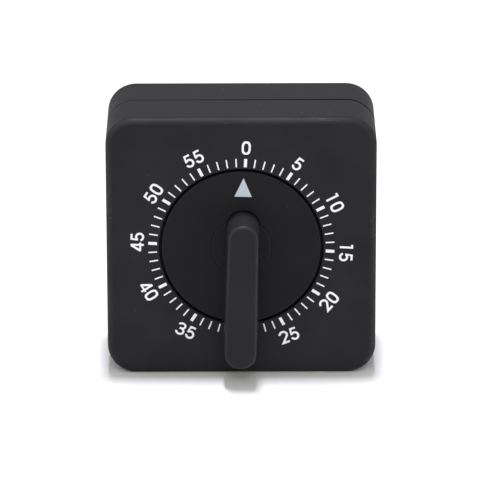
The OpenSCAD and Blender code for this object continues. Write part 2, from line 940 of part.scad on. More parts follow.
// A wheel of pointed teeth that has one tooth towards a neighbour.
module pointed_wheel(at, towards, teeth, tip_r, tip_half, root_half) {
    root_r = tip_r - point_depth;
    holes = 5;
    hole_r = tip_r * 0.14;
    hole_ring_r = tip_r * 0.45;
    color(brass)
        on_dial()
            translate(concat(at, escape_wheel_y))
                rotate(direction(at, towards))
                    linear_extrude(escape_wheel_t)
                        difference() {
                            polygon(pointed_outline(teeth, tip_r, root_r, tip_half, root_half));
                            circle(train_arbor_r + seat_gap);
                            for (i = [0 : holes - 1])
                                rotate(i * 360 / holes)
                                    translate([hole_ring_r, 0])
                                        circle(hole_r);
                        }
}

module escape_wheel()
    pointed_wheel(escape_at, balance_at, escape_teeth, escape_r, escape_tip_half, escape_root_half);

module strike_wheel()
    pointed_wheel(strike_at, hammer_at, strike_teeth, strike_r, strike_tip_half, strike_root_half);

// ---------- escapement and hammer ----------

pin_r = 0.3;
spring_leg_l = 5;
hammer_leg_turn = 20;
trip_leg_turn = 160;

// Distance of two pallet pins from their own arbor, and their angle off the line to the wheel,
// so that each pin is just clear of the wheel's tip circle at mid-swing.
function pin_angle(distance, reach, tip_r) =
    let (away = tip_r + pin_r + pin_gap)
    acos((distance * distance + reach * reach - away * away) / (2 * distance * reach));

pallet_reach = 4.2;
pallet_angle = pin_angle(balance_distance, pallet_reach, escape_r);
verge_reach = 3.9;
verge_angle = pin_angle(verge_distance, verge_reach, strike_r);

module pin_yoke(at, towards, reach, spread) {
    arm_w = 1.5;
    hub_wall = 0.9;
    color(brass)
        on_dial()
            translate(concat(at, yoke_y))
                rotate(direction(at, towards))
                    linear_extrude(yoke_t)
                        difference() {
                            union() {
                                circle(train_arbor_r + hub_wall);
                                for (side = [-1, 1])
                                    rotate(side * spread) {
                                        translate([0, -arm_w / 2])
                                            square([reach, arm_w]);
                                        translate([reach, 0])
                                            circle(arm_w / 2);
                                    }
                            }
                            circle(train_arbor_r + seat_gap);
                            for (side = [-1, 1])
                                rotate(side * spread)
                                    translate([reach, 0])
                                        circle(pin_r + seat_gap, $fn = pin_sides);
                        }
}

module yoke_pins(at, towards, reach, spread) {
    color(steel)
        on_dial()
            translate(concat(at, yoke_y))
                rotate(direction(at, towards))
                    for (side = [-1, 1])
                        rotate(side * spread)
                            translate([reach, 0, 0])
                                cylinder(
                                    r = pin_r,
                                    h = escape_wheel_y + escape_wheel_t + stand_out - yoke_y,
                                    $fn = pin_sides
                                );
}

module balance_arbor() {
    color(steel)
        on_dial()
            train_arbor(balance_at);
}

module pallet_yoke() pin_yoke(balance_at, escape_at, pallet_reach, pallet_angle);

module pallet_pins() yoke_pins(balance_at, escape_at, pallet_reach, pallet_angle);

module balance_wheel() {
    rim_w = 1.2;
    bar_w = 1.6;
    bar_l = 2 * balance_r - rim_w;
    hub_wall = 1;
    color(brass)
        on_dial()
            translate(concat(balance_at, bay_y + pass_gap))
                linear_extrude(balance_t)
                    difference() {
                        union() {
                            difference() {
                                circle(balance_r);
                                circle(balance_r - rim_w);
                            }
                            translate([-bar_l / 2, -bar_w / 2])
                                square([bar_l, bar_w]);
                            circle(train_arbor_r + hub_wall);
                        }
                        circle(train_arbor_r + seat_gap);
                    }
}

// The hammer's arm meets the bell's radius at a right angle, so its head strikes squarely. The
// swing lifts the head away from the bell by a part of the chord that the arm's end moves.
bell_at = [0, -bell_rise];
bell_post_pin_r = 1.5;
bell_post_r = 3;
bell_stud_past = 0.2;
bell_hole_gap = 0.1;
hammer_to_bell = norm(hammer_at - bell_at);
strike_gap = 0.1;
swing_lift = 0.72;
head_from_bell = bell_r + hammer_head_r + strike_gap
    + sqrt(hammer_to_bell * hammer_to_bell - bell_r * bell_r) * sin(hammer_swing) * swing_lift;
hammer_l = sqrt(hammer_to_bell * hammer_to_bell - head_from_bell * head_from_bell);
head_angle = direction(bell_at, hammer_at) + acos(head_from_bell / hammer_to_bell);
head_at = bell_at + head_from_bell * [cos(head_angle), sin(head_angle)];

module hammer_arbor() {
    color(steel)
        on_dial()
            translate(concat(hammer_at, 0))
                turned(front_plate_y + end_play, [
                    [pivot_r, bay_y + end_play],
                    [train_arbor_r, hammer_y + hammer_t + stand_out]
                ]);
}

module hammer_verge() pin_yoke(hammer_at, strike_at, verge_reach, verge_angle);

module verge_pins() yoke_pins(hammer_at, strike_at, verge_reach, verge_angle);

module hammer() {
    arm_w = 1.8;
    hub_wall = 1;
    head_reach = 4;
    color(steel)
        on_dial() {
            difference() {
                union() {
                    translate(concat(hammer_at, hammer_y))
                        rotate(direction(hammer_at, head_at))
                            translate([0, -arm_w / 2, 0])
                                cube([hammer_l, arm_w, hammer_t]);
                    post(train_arbor_r + hub_wall, hammer_y, hammer_y + hammer_t, hammer_at);
                    post(hammer_head_r, hammer_y, bell_rim_y + head_reach, head_at);
                }
                post(train_arbor_r + seat_gap, hammer_y - past, hammer_y + hammer_t + past, hammer_at);
            }
        }
}

module hammer_spring() {
    color(spring_blue)
        on_dial()
            torsion_spring(hammer_at, bay_y + pass_gap, spring_leg_l, hammer_leg_turn);
}

// ---------- trip lever ----------

module trip_arbor() {
    color(steel)
        on_dial()
            train_arbor(trip_at);
}

module trip_lever() {
    arm_w = 1.6;
    hub_wall = 1;
    lever_t = cam_t - 2 * end_play;
    color(brass)
        on_dial()
            translate([0, 0, cam_y + end_play])
                difference() {
                    union() {
                        translate(concat(trip_at, 0))
                            rotate(direction(trip_at, elbow_at))
                                translate([0, -arm_w / 2, 0])
                                    cube([trip_arm_l, arm_w, lever_t]);
                        translate(concat(nose_at, 0))
                            rotate(nose_clock - 90)
                                translate([0, -nose_r, 0])
                                    cube([finger_l, 2 * nose_r, lever_t]);
                        post(train_arbor_r + hub_wall, 0, lever_t, trip_at);
                        post(arm_w / 2, 0, lever_t, elbow_at);
                        post(nose_r, 0, lever_t, nose_at);
                    }
                    post(train_arbor_r + seat_gap, -past, lever_t + past, trip_at);
                }
}

module trip_spring() {
    color(spring_blue)
        on_dial()
            torsion_spring(trip_at, bay_y + pass_gap, spring_leg_l, trip_leg_turn);
}

// ---------- bell ----------

module bell_post() {
    color(steel)
        on_dial()
            translate(concat(bell_at, 0))
                turned(rear_plate_y, [
                    [bell_post_pin_r, rear_plate_back_y],
                    [bell_post_r, bell_top_y - bell_t],
                    [bell_post_pin_r, bell_top_y + bell_nut_t + bell_stud_past]
                ]);
}

module bell() {
    steps = 10;
    outer = arc_points([bell_r - bell_h, bell_rim_y], bell_h, 0, 90, steps);
    inner = arc_points([bell_r - bell_h, bell_rim_y], bell_h - bell_t, 90, 0, steps);
    color(bell_grey)
        on_dial()
            translate(concat(bell_at, 0))
                difference() {
                    rotate_extrude()
                        polygon(concat(
                            outer,
                            [[0, bell_top_y], [0, bell_top_y - bell_t]],
                            inner
                        ));
                    post(bell_post_pin_r + bell_hole_gap, bell_top_y - bell_t - past, bell_top_y + past);
                }
}

module bell_nut() {
    color(steel)
        on_dial()
            translate(concat(bell_at, 0))
                difference() {
                    translate([0, 0, bell_top_y])
                        cylinder(r = bell_post_pin_r * nut_r_per_thread, h = bell_nut_t, $fn = 6);
                    post(bell_post_pin_r + seat_gap,
                        bell_top_y - past, bell_top_y + bell_nut_t + past);
                }
}

front_shell();
rear_shell();
case_screws();
knob_disc();
knob_handle();
front_plate();
rear_plate();
pillars();
pillar_nuts();
movement_screws();
arbor_bushes();
main_arbor();
main_wheel();
clutch_spring();
mainspring();
spring_post();
trip_cam();
second_arbor();
second_wheel();
third_arbor();
third_wheel();
fourth_arbor();
fourth_wheel();
escape_arbor();
escape_wheel();
balance_arbor();
pallet_yoke();
pallet_pins();
balance_wheel();
strike_arbor();
strike_wheel();
hammer_arbor();
hammer_verge();
verge_pins();
hammer();
hammer_spring();
trip_arbor();
trip_lever();
trip_spring();
bell_post();
bell();
bell_nut();
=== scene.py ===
# %% [markdown]
# # A square wind-up kitchen timer
# The timer is a black plastic case in two shells, with a dial disc set flush in its face and a long
# bar handle to wind it by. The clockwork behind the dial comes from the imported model, which this
# notebook loads as a fixed frame. What the eye sees is modelled again here with softer edges,
# printed with a minute scale, and given its finishes.

# %% Open the frame
import json
import math

import bmesh
import bpy
from mathutils import Matrix, Vector


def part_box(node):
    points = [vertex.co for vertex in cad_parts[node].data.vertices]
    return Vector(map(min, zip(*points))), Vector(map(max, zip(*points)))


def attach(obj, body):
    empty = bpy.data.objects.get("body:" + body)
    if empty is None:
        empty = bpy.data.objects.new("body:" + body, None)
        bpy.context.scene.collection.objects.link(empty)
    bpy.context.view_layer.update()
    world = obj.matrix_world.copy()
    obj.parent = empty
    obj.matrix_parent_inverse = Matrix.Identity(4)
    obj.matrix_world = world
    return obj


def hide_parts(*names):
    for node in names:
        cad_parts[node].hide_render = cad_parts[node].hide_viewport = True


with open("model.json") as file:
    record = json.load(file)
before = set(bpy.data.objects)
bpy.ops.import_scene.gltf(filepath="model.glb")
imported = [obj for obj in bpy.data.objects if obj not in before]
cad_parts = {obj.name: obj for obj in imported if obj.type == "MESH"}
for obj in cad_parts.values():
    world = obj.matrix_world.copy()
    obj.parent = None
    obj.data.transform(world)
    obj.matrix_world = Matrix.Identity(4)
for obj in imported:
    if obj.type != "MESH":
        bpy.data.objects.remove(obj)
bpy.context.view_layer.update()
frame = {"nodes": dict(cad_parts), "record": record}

# %% [markdown]
# ## Measuring before modelling
# A model maker measures the parts that a new piece has to fit. Here every leading size is read from
# the boxes of the frame's nodes. The pieces are modelled in millimetres, because that is how such a
# case is drawn, and each is brought to metres when it is finished.

# %% Sizes from the frame
MM = 0.001


def node_box(node):
    """Lowest and highest corner of a node of the frame, in millimetres."""
    low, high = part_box(node)
    return low / MM, high / MM


front_low, front_high = node_box("front_shell")
rear_low, rear_high = node_box("rear_shell")
disc_low, disc_high = node_box("knob_disc")
handle_low, handle_high = node_box("knob_handle")
screws_low, screws_high = node_box("case_screws")

case_w = front_high.x - front_low.x
case_h = front_high.z - front_low.z
face_y = front_low.y
seam_y = front_high.y
back_y = rear_high.y
tongue_y = rear_low.y
dial_z = (disc_low.z + disc_high.z) / 2
disc_r = (disc_high.x - disc_low.x) / 2
disc_back_y = disc_high.y
handle_front_y = handle_low.y
stem_end_y = handle_high.y
print(f"case {case_w:.1f} x {case_h:.1f} x {back_y - face_y:.1f} mm, disc radius {disc_r:.2f} mm")

# %% [markdown]
# ## The camera comes first
# A product is set up under the lens before anything is polished, so that effort goes where it
# shows. A long lens from a little above keeps the square case nearly square.

# %% Camera
CAMERA_TARGET = Vector((-0.345, -15.5, 37.005))
CAMERA_DISTANCE = 1158.2
CAMERA_ELEVATION = math.radians(19.364)
CAMERA_ROLL = math.radians(-0.159)
CAMERA_LENS = 335.2
CAMERA_SENSOR = 36.0
CAMERA_CLIP = (0.1, 20.0)

camera = bpy.data.objects.new("camera", bpy.data.cameras.new("camera"))
bpy.context.scene.collection.objects.link(camera)
bpy.context.scene.camera = camera
camera.data.lens = CAMERA_LENS
camera.data.sensor_width = CAMERA_SENSOR
camera.data.clip_start, camera.data.clip_end = CAMERA_CLIP
camera_back = Vector((0, -math.cos(CAMERA_ELEVATION), math.sin(CAMERA_ELEVATION)))
camera_roll = Matrix.Rotation(CAMERA_ROLL, 3, "Z").to_quaternion()
camera.location = (CAMERA_TARGET + CAMERA_DISTANCE * camera_back) * MM
camera.rotation_mode = "QUATERNION"
camera.rotation_quaternion = camera_back.to_track_quat("Z", "Y") @ camera_roll
print("camera at", [round(x, 3) for x in camera.location])

# %% [markdown]
# ## A few bmesh tools
# All the hard pieces here are blocks with rounded edges or turned rounds. A block starts as a cube
# that is scaled to size. Its four long edges are bevelled first, and then the rims of its front and
# its back, so that the corners run smoothly into the faces.

# %% Helpers for blocks
CORNER_STEPS = 16
EDGE_STEPS = 8
TINY = 1e-3


def bevel(bm, edges, radius, steps):
    """Rounds the edges with that radius."""
    bmesh.ops.bevel(bm, geom=edges, offset=radius, offset_type="OFFSET", affect="EDGES",
                    segments=steps, profile=0.5, material=-1, loop_slide=True)


def edges_at(bm, level):
    """The edges that lie in the plane y = level."""
    return [e for e in bm.edges if all(abs(v.co.y - level) < TINY for v in e.verts)]


def rounded_block(width, height, front, back, corner, front_edge=0.0, back_edge=0.0):
    """A block centred on the dial's axis, with round corners and round front and back edges."""
    bm = bmesh.new()
    bmesh.ops.create_cube(bm, size=1.0)
    bmesh.ops.scale(bm, vec=(width, back - front, height), verts=bm.verts)
    bmesh.ops.translate(bm, vec=(0, (front + back) / 2, dial_z), verts=bm.verts)
    long_edges = [e for e in bm.edges if abs(e.verts[0].co.y - e.verts[1].co.y) > TINY]
    bevel(bm, long_edges, corner, CORNER_STEPS)
    for level, radius in ((front, front_edge), (back, back_edge)):
        if radius:
            bevel(bm, edges_at(bm, level), radius, EDGE_STEPS)
    return bm


# %% [markdown]
# A round is made as on a lathe: half of its section is drawn beside an axis and spun round it. The
# axis runs from front to back, and unless a centre is given it is the dial's own.

# %% Helpers for rounds
ROUND_STEPS = 96
DIAL_AXIS = (0.0, dial_z)
MERGE_REACH = TINY / 10


def arc(centre_x, centre_y, radius_x, radius_y, start, end, steps):
    """Points along an arc of an ellipse, with the angles in degrees."""
    angles = [math.radians(start + (end - start) * k / steps) for k in range(steps + 1)]
    return [(centre_x + radius_x * math.cos(a), centre_y + radius_y * math.sin(a)) for a in angles]


def turned(profile, centre=DIAL_AXIS, steps=ROUND_STEPS):
    """A profile of (radius, y) points, spun round an axis that is parallel to Y."""
    at_x, at_z = centre
    bm = bmesh.new()
    points = [bm.verts.new((at_x + r, y, at_z)) for r, y in profile]
    for a, b in zip(points, points[1:]):
        bm.edges.new((a, b))
    if min(r for r, _ in profile) > TINY:
        bm.edges.new((points[-1], points[0]))
    bmesh.ops.spin(bm, geom=bm.verts[:] + bm.edges[:], cent=(at_x, 0, at_z), axis=(0, 1, 0),
                   dvec=(0, 0, 0), angle=2 * math.pi, steps=steps,
                   use_merge=True, use_duplicate=False)
    bmesh.ops.remove_doubles(bm, verts=bm.verts, dist=MERGE_REACH)
    bmesh.ops.recalc_face_normals(bm, faces=bm.faces)
    return bm


def post(radius, start, end, centre=DIAL_AXIS, steps=ROUND_STEPS):
    """A plain round from one level to another."""
    return turned([(0, start), (radius, start), (radius, end), (0, end)], centre, steps)


def posts(radius, start, end, places, steps):
    """The same plain round at several places."""
    return [post(radius, start, end, place, steps) for place in places]


# %% [markdown]
# The bar and the slots in the back are long shapes with round ends. Two half circles are spun, two
# straight sides close them to one face, and the face is extruded to a block.

# %% Helpers for flat outlines
def only(kind, geometry):
    """The vertices, edges or faces among what an operator gives back."""
    return [g for g in geometry if isinstance(g, kind)]


def oblong(ends, level):
    """Two round ends and straight sides, as one face; each end is a centre and a radius."""
    bm = bmesh.new()
    (x1, z1), (x2, z2) = ends[0][0], ends[1][0]
    along = math.atan2(z2 - z1, x2 - x1)
    for ((x, z), radius), turn in zip(ends, (along + math.pi / 2, along - math.pi / 2)):
        start = bm.verts.new((x + radius * math.cos(turn), level, z + radius * math.sin(turn)))
        bmesh.ops.spin(bm, geom=[start], cent=(x, 0, z), axis=(0, -1, 0), dvec=(0, 0, 0),
                       angle=math.pi, steps=CORNER_STEPS, use_merge=False, use_duplicate=False)
    start_1, end_1, start_2, end_2 = [v for v in bm.verts if len(v.link_edges) == 1]
    bm.edges.new((end_1, start_2))
    bm.edges.new((end_2, start_1))
    face = bmesh.ops.contextual_create(bm, geom=bm.edges[:])["faces"][0]
    if face.normal.y > 0:
        face.normal_flip()
    return bm


def raise_flat(bm, depth):
    """Extrudes the flat shape in a bmesh along Y, and keeps the faces outwards."""
    grown = bmesh.ops.extrude_face_region(bm, geom=bm.faces[:])["geom"]
    bmesh.ops.translate(bm, vec=(0, depth, 0), verts=only(bmesh.types.BMVert, grown))
    bmesh.ops.recalc_face_normals(bm, faces=bm.faces)
    return bm


def oblong_block(ends, front, back):
    """A block with that oblong outline, from one level to another."""
    return raise_flat(oblong(ends, front), back - front)


# %% [markdown]
# Joining and cutting is left to the Boolean modifier, which is applied straight away. Shapes that
# don't touch each other go into one bmesh and are joined or cut in a single step, because a long
# row of cuts in the same flat faces can leave an open edge behind.

# %% Helpers for joining and cutting
def solid(name, bm):
    """Puts a bmesh into a new object, still in millimetres."""
    mesh = bpy.data.meshes.new(name)
    bm.to_mesh(mesh)
    bm.free()
    body = bpy.data.objects.new(name, mesh)
    bpy.context.scene.collection.objects.link(body)
    return body


def together(shapes):
    """Several shapes that don't touch, as one bmesh, so that one boolean takes them all."""
    joined = bmesh.new()
    for shape in shapes:
        mesh = bpy.data.meshes.new("shape")
        shape.to_mesh(mesh)
        shape.free()
        joined.from_mesh(mesh)
        bpy.data.meshes.remove(mesh)
    return joined


def combine(piece, bm, operation):
    """Joins a tool shape to the piece, or cuts it out of the piece."""
    tool = solid("tool", bm)
    step = piece.modifiers.new("combine", "BOOLEAN")
    step.object, step.operation, step.solver = tool, operation, "EXACT"
    graph = bpy.context.evaluated_depsgraph_get()
    mesh = bpy.data.meshes.new_from_object(piece.evaluated_get(graph))
    piece.modifiers.clear()
    piece.data = mesh
    bpy.data.objects.remove(tool)


def reshape(piece, change):
    """Runs a function on the piece's bmesh and puts the result back."""
    bm = bmesh.new()
    bm.from_mesh(piece.data)
    change(bm)
    bm.to_mesh(piece.data)
    bm.free()


# %% [markdown]
# ## Finishing a piece
# Each piece ends the same way: faces are smooth with hard edges kept hard, the mesh goes to metres,
# a Weighted Normal modifier keeps the large flats flat beside their round edges, the piece gets its
# finish and rides on its body, and the node of the frame that it stands for, if any, is hidden.

# %% Helper that finishes a piece
HARD_ANGLE = math.radians(32)


def mark_hard_edges(bm):
    """Merges doubles, then smooth faces everywhere and sharp edges where two meet at an angle."""
    bmesh.ops.remove_doubles(bm, verts=bm.verts, dist=MERGE_REACH)
    for face in bm.faces:
        face.smooth = True
    for edge in bm.edges:
        edge.smooth = len(edge.link_faces) == 2 and edge.calc_face_angle(0.0) < HARD_ANGLE


def finish_piece(piece, body, material, stands_for=None):
    """Brings a piece to metres, gives it its finish and lets it ride on a body."""
    reshape(piece, mark_hard_edges)
    piece.data.transform(Matrix.Scale(MM, 4))
    piece.data.materials.clear()
    piece.data.materials.append(material)
    normals = piece.modifiers.new("flats stay flat", "WEIGHTED_NORMAL")
    normals.keep_sharp = True
    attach(piece, body)
    if stands_for:
        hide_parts(stands_for)
    size = piece.dimensions / MM
    faces = len(piece.data.polygons)
    print(f"{piece.name}: {faces} faces, {size.x:.1f} x {size.y:.1f} x {size.z:.1f} mm")


# %% [markdown]
# ## Shared surface effects
# Real plastic is never one flat colour. Four effects are built once as node groups and set to
# taste in each material: a moulded grain, a mottle of slightly lighter and darker areas, dust, and
# an edge that hands have rubbed a little shiny, with fine scuffs on it.

# %% Helpers for node trees
NOISE_MIDDLE = 0.5


def new_group(name, inputs, outputs):
    """A shader node group with named number inputs and outputs, and its two end nodes."""
    group = bpy.data.node_groups.new(name, "ShaderNodeTree")
    for label, value in inputs.items():
        socket = group.interface.new_socket(label, in_out="INPUT", socket_type="NodeSocketFloat")
        socket.default_value = value
    for label in outputs:
        group.interface.new_socket(label, in_out="OUTPUT", socket_type="NodeSocketFloat")
    return group, group.nodes.new("NodeGroupInput"), group.nodes.new("NodeGroupOutput")


def feed(tree, socket, value):
    """Links another socket to this one, or sets it to a plain number or colour."""
    if isinstance(value, bpy.types.NodeSocket):
        tree.links.new(value, socket)
    else:
        socket.default_value = (*value, 1.0) if socket.type == "RGBA" else value


def object_place(tree):
    """The place on the piece, in metres, so that a pattern stays put when the piece moves."""
    return tree.nodes.new("ShaderNodeTexCoord").outputs["Object"]


def noise(tree, scale, detail=2.0, stretch=None):
    """A noise on Object coordinates, stretched where its pattern should run in lines."""
    place = object_place(tree)
    if stretch:
        mapping = tree.nodes.new("ShaderNodeMapping")
        mapping.inputs["Scale"].default_value = stretch
        tree.links.new(place, mapping.inputs["Vector"])
        place = mapping.outputs["Vector"]
    texture = tree.nodes.new("ShaderNodeTexNoise")
    texture.inputs["Detail"].default_value = detail
    tree.links.new(place, texture.inputs["Vector"])
    feed(tree, texture.inputs["Scale"], scale)
    return texture.outputs["Fac"]


def math_node(tree, operation, first, second=0.0):
    """A Math node on two sockets or numbers."""
    node = tree.nodes.new("ShaderNodeMath")
    node.operation = operation
    for socket, value in zip(node.inputs, (first, second)):
        feed(tree, socket, value)
    return node.outputs["Value"]


def remap(tree, value, low, high, to_low=0.0, to_high=1.0):
    """A smooth step from one range to another."""
    node = tree.nodes.new("ShaderNodeMapRange")
    node.interpolation_type = "SMOOTHSTEP"
    tree.links.new(value, node.inputs["Value"])
    limits = {"From Min": low, "From Max": high, "To Min": to_low, "To Max": to_high}
    for label, number in limits.items():
        feed(tree, node.inputs[label], number)
    return node.outputs["Result"]


# %% Grain, mottle and dust
def build_grain():
    """Height of a spark-eroded mould's grain, at two sizes."""
    inputs = {"Per metre": 3500.0, "Coarse share": 0.35}
    group, start, end = new_group("moulded grain", inputs, ("Height",))
    fine_scale = start.outputs["Per metre"]
    coarse_scale = math_node(group, "MULTIPLY", fine_scale, 0.3)
    fine = noise(group, fine_scale, detail=3.0)
    coarse = noise(group, coarse_scale, detail=2.0)
    coarse_height = math_node(group, "MULTIPLY", coarse, start.outputs["Coarse share"])
    group.links.new(math_node(group, "ADD", fine, coarse_height), end.inputs["Height"])
    return group


def build_mottle():
    """Soft, large areas that handling has left a little duller or brighter."""
    inputs = {"Per metre": 60.0, "Contrast": 0.3}
    group, start, end = new_group("handling mottle", inputs, ("Mask",))
    cloud = noise(group, start.outputs["Per metre"], detail=4.0)
    half_contrast = math_node(group, "MULTIPLY", start.outputs["Contrast"], 0.5)
    low = math_node(group, "SUBTRACT", NOISE_MIDDLE, half_contrast)
    high = math_node(group, "ADD", NOISE_MIDDLE, half_contrast)
    group.links.new(remap(group, cloud, low, high), end.inputs["Mask"])
    return group


def build_dust():
    """A mask of far apart specks: one in a few cells, and each far smaller than its cell."""
    inputs = {"Per metre": 220.0, "Share": 0.3, "Speck": 0.08}
    group, start, end = new_group("dust", inputs, ("Mask",))
    cells = group.nodes.new("ShaderNodeTexVoronoi")
    group.links.new(object_place(group), cells.inputs["Vector"])
    group.links.new(start.outputs["Per metre"], cells.inputs["Scale"])
    split = group.nodes.new("ShaderNodeSeparateColor")
    group.links.new(cells.outputs["Color"], split.inputs["Color"])
    chosen = math_node(group, "LESS_THAN", split.outputs["Red"], start.outputs["Share"])
    size = math_node(group, "MULTIPLY", start.outputs["Speck"], split.outputs["Green"])
    inside = math_node(group, "LESS_THAN", cells.outputs["Distance"], size)
    group.links.new(math_node(group, "MULTIPLY", chosen, inside), end.inputs["Mask"])
    return group


# %% Worn edge
SCUFFS_PER_METRE = 500.0
SCUFF_STRETCH = (0.12, 1.0, 1.0)
SCUFF_W = 0.02
PATCHES_PER_METRE = 90.0


def build_worn_edge():
    """Where the front rolls over to the sides: rubbed shinier, with a few hairline scuffs."""
    inputs = {"Per metre": 60.0, "Amount": 0.1}
    group, start, end = new_group("worn edge", inputs, ("Mask", "Scuffs"))
    # The roll is 1 where the surface leans 45 degrees away from the front, and 0 on the flats.
    split = group.nodes.new("ShaderNodeSeparateXYZ")
    normal = group.nodes.new("ShaderNodeTexCoord").outputs["Normal"]
    group.links.new(normal, split.inputs["Vector"])
    forward = math_node(group, "MULTIPLY", split.outputs["Y"], -1.0)
    forward = math_node(group, "MAXIMUM", forward, 0.0)
    facing = math_node(group, "MULTIPLY", forward, forward)
    away = math_node(group, "SUBTRACT", 1.0, facing)
    roll = math_node(group, "MULTIPLY", math_node(group, "MULTIPLY", facing, 4.0), away)
    # Hands rub it unevenly.
    touch = noise(group, start.outputs["Per metre"], detail=3.0)
    rubbed = remap(group, touch, 0.35, 0.65, 0.4, 1.0)
    amount = math_node(group, "MULTIPLY", rubbed, start.outputs["Amount"])
    group.links.new(math_node(group, "MULTIPLY", roll, amount), end.inputs["Mask"])
    # A hairline runs wherever a stretched noise passes its middle value, in some patches only.
    streaks = noise(group, SCUFFS_PER_METRE, stretch=SCUFF_STRETCH)
    off_line = math_node(group, "ABSOLUTE", math_node(group, "SUBTRACT", streaks, NOISE_MIDDLE))
    hairlines = remap(group, off_line, 0.0, SCUFF_W, 1.0, 0.0)
    patches = remap(group, noise(group, PATCHES_PER_METRE), 0.48, 0.64)
    scuffs = math_node(group, "MULTIPLY", hairlines, patches)
    on_roll = remap(group, roll, 0.0, 0.3)
    group.links.new(math_node(group, "MULTIPLY", scuffs, on_roll), end.inputs["Scuffs"])
    return group


GRAIN = build_grain()
MOTTLE = build_mottle()
DUST = build_dust()
WORN_EDGE = build_worn_edge()
print("node groups:", [g.name for g in bpy.data.node_groups])

# %% [markdown]
# ## The black plastics
# The case is a dull black moulding with the coarsest grain. The bar is smoother, and the disc both
# smoother and darker. Black plastic shows its shape only by sheen, so the base colour stays dark
# and the roughness does the work. The mottle moves both a little, and a few dust specks break up
# the surface.

# %% Helpers for materials
def new_material(name, colour, roughness, metallic=0.0, specular=0.5):
    """A Principled material with its uniform values on the shader's own sockets."""
    material = bpy.data.materials.new(name)
    material.use_nodes = True
    shader = material.node_tree.nodes["Principled BSDF"]
    shader.inputs["Base Color"].default_value = (*colour, 1.0)
    shader.inputs["Roughness"].default_value = roughness
    shader.inputs["Metallic"].default_value = metallic
    shader.inputs["Specular IOR Level"].default_value = specular
    return material, material.node_tree, shader


def place_group(tree, group, **values):
    """Places a shared effect in a material, with its own values."""
    node = tree.nodes.new("ShaderNodeGroup")
    node.node_tree = group
    for label, value in values.items():
        node.inputs[label.replace("_", " ").capitalize()].default_value = value
    return node


def mix_colours(tree, share, first, second):
    """A blend of two colours, either of which may be a socket."""
    node = tree.nodes.new("ShaderNodeMix")
    node.data_type = "RGBA"
    tree.links.new(share, node.inputs["Factor"])
    for label, colour in (("A", first), ("B", second)):
        socket = next(s for s in node.inputs if s.name == label and s.type == "RGBA")
        feed(tree, socket, colour)
    return next(s for s in node.outputs if s.type == "RGBA")


def bump(tree, height, distance):
    """A Bump node on a height, whose depth is in metres."""
    node = tree.nodes.new("ShaderNodeBump")
    node.inputs["Distance"].default_value = distance
    tree.links.new(height, node.inputs["Height"])
    return node.outputs["Normal"]


# %% Black plastics
DUST_COLOUR = (0.16, 0.16, 0.165)
SCUFF_LIGHTER = 1.8
RUBBED_ROUGHNESS = 0.55


def black_plastic(name, dark, light, specular, edge_shine, rough=(0.34, 0.4),
                  grain_per_metre=5200.0, grain_depth=8e-6):
    """A moulded black plastic, with its darkest and lightest tone and its roughness range."""
    material, tree, shader = new_material(name, dark, rough[0], specular=specular)
    cloud = place_group(tree, MOTTLE, per_metre=70.0, contrast=0.5).outputs["Mask"]
    dust = place_group(tree, DUST, per_metre=300.0, share=0.8, speck=0.06).outputs["Mask"]
    worn = place_group(tree, WORN_EDGE, amount=edge_shine, per_metre=50.0)
    scuff_colour = [SCUFF_LIGHTER * x for x in light]
    colour = mix_colours(tree, cloud, dark, light)
    scuffed = mix_colours(tree, worn.outputs["Scuffs"], colour, scuff_colour)
    tree.links.new(mix_colours(tree, dust, scuffed, DUST_COLOUR), shader.inputs["Base Color"])
    tree.links.new(remap(tree, cloud, 0.0, 1.0, *rough), shader.inputs["Roughness"])
    tree.links.new(worn.outputs["Mask"], shader.inputs["Coat Weight"])
    shader.inputs["Coat Roughness"].default_value = RUBBED_ROUGHNESS
    grain = place_group(tree, GRAIN, per_metre=grain_per_metre).outputs["Height"]
    tree.links.new(bump(tree, grain, grain_depth), shader.inputs["Normal"])
    return material


CASE_PLASTIC = black_plastic(
    "matt black case plastic", dark=(0.0236, 0.0236, 0.0252), light=(0.0286, 0.0286, 0.0304),
    specular=0.01, edge_shine=0.31, rough=(0.42, 0.5), grain_per_metre=4200.0, grain_depth=1.4e-5)
HANDLE_PLASTIC = black_plastic(
    "matt black handle plastic", dark=(0.0234, 0.0234, 0.0244), light=(0.0256, 0.0256, 0.0266),
    specular=0.03, edge_shine=0.38)
DISC_PLASTIC = black_plastic(
    "dull black disc plastic", dark=(0.0148, 0.0148, 0.0158), light=(0.0168, 0.0168, 0.0179),
    specular=0.04, edge_shine=0.3)
print("plastics:", CASE_PLASTIC.name, HANDLE_PLASTIC.name, DISC_PLASTIC.name)

# %% [markdown]
# ## Front shell
# The front shell is one moulding: a shallow box with a round well for the dial disc, a hole for the
# winding arbor, and bosses inside for the screws. It starts as a rounded block that is hollowed,
# then gets its bosses and its well. The rim of the well is rounded last, once it exists.

# %% Sizes of the case
CORNER_R = 7.5
FACE_EDGE_R = 1.9
BACK_EDGE_R = 0.4
SEAM_EDGE_R = 0.1
SEAM_GAP = 0.5
SEAM_SKEW = 0.11
REAR_SEAM_GAP = 0.22
SEAM_GAP_DEPTH = 1.1
STEP_REACH = 1.5
SIDE_WALL = 2.2
FACE_WALL = 2.2
BACK_WALL = 2.0
WELL_GAP = 0.71
WELL_DEPTH = 3.0
WELL_FLOOR = 1.2
WELL_WALL = 1.4
RIM_R = 0.22
PAST = 1.0

inner_w = case_w - 2 * SIDE_WALL
inner_h = case_h - 2 * SIDE_WALL
inner_corner_r = CORNER_R - SIDE_WALL
inner_face_y = face_y + FACE_WALL
well_r = disc_r + WELL_GAP
well_floor_y = face_y + WELL_DEPTH
plate_y = well_floor_y + WELL_FLOOR
print(f"well radius {well_r:.2f} mm, inside of the case {inner_w:.1f} mm wide")

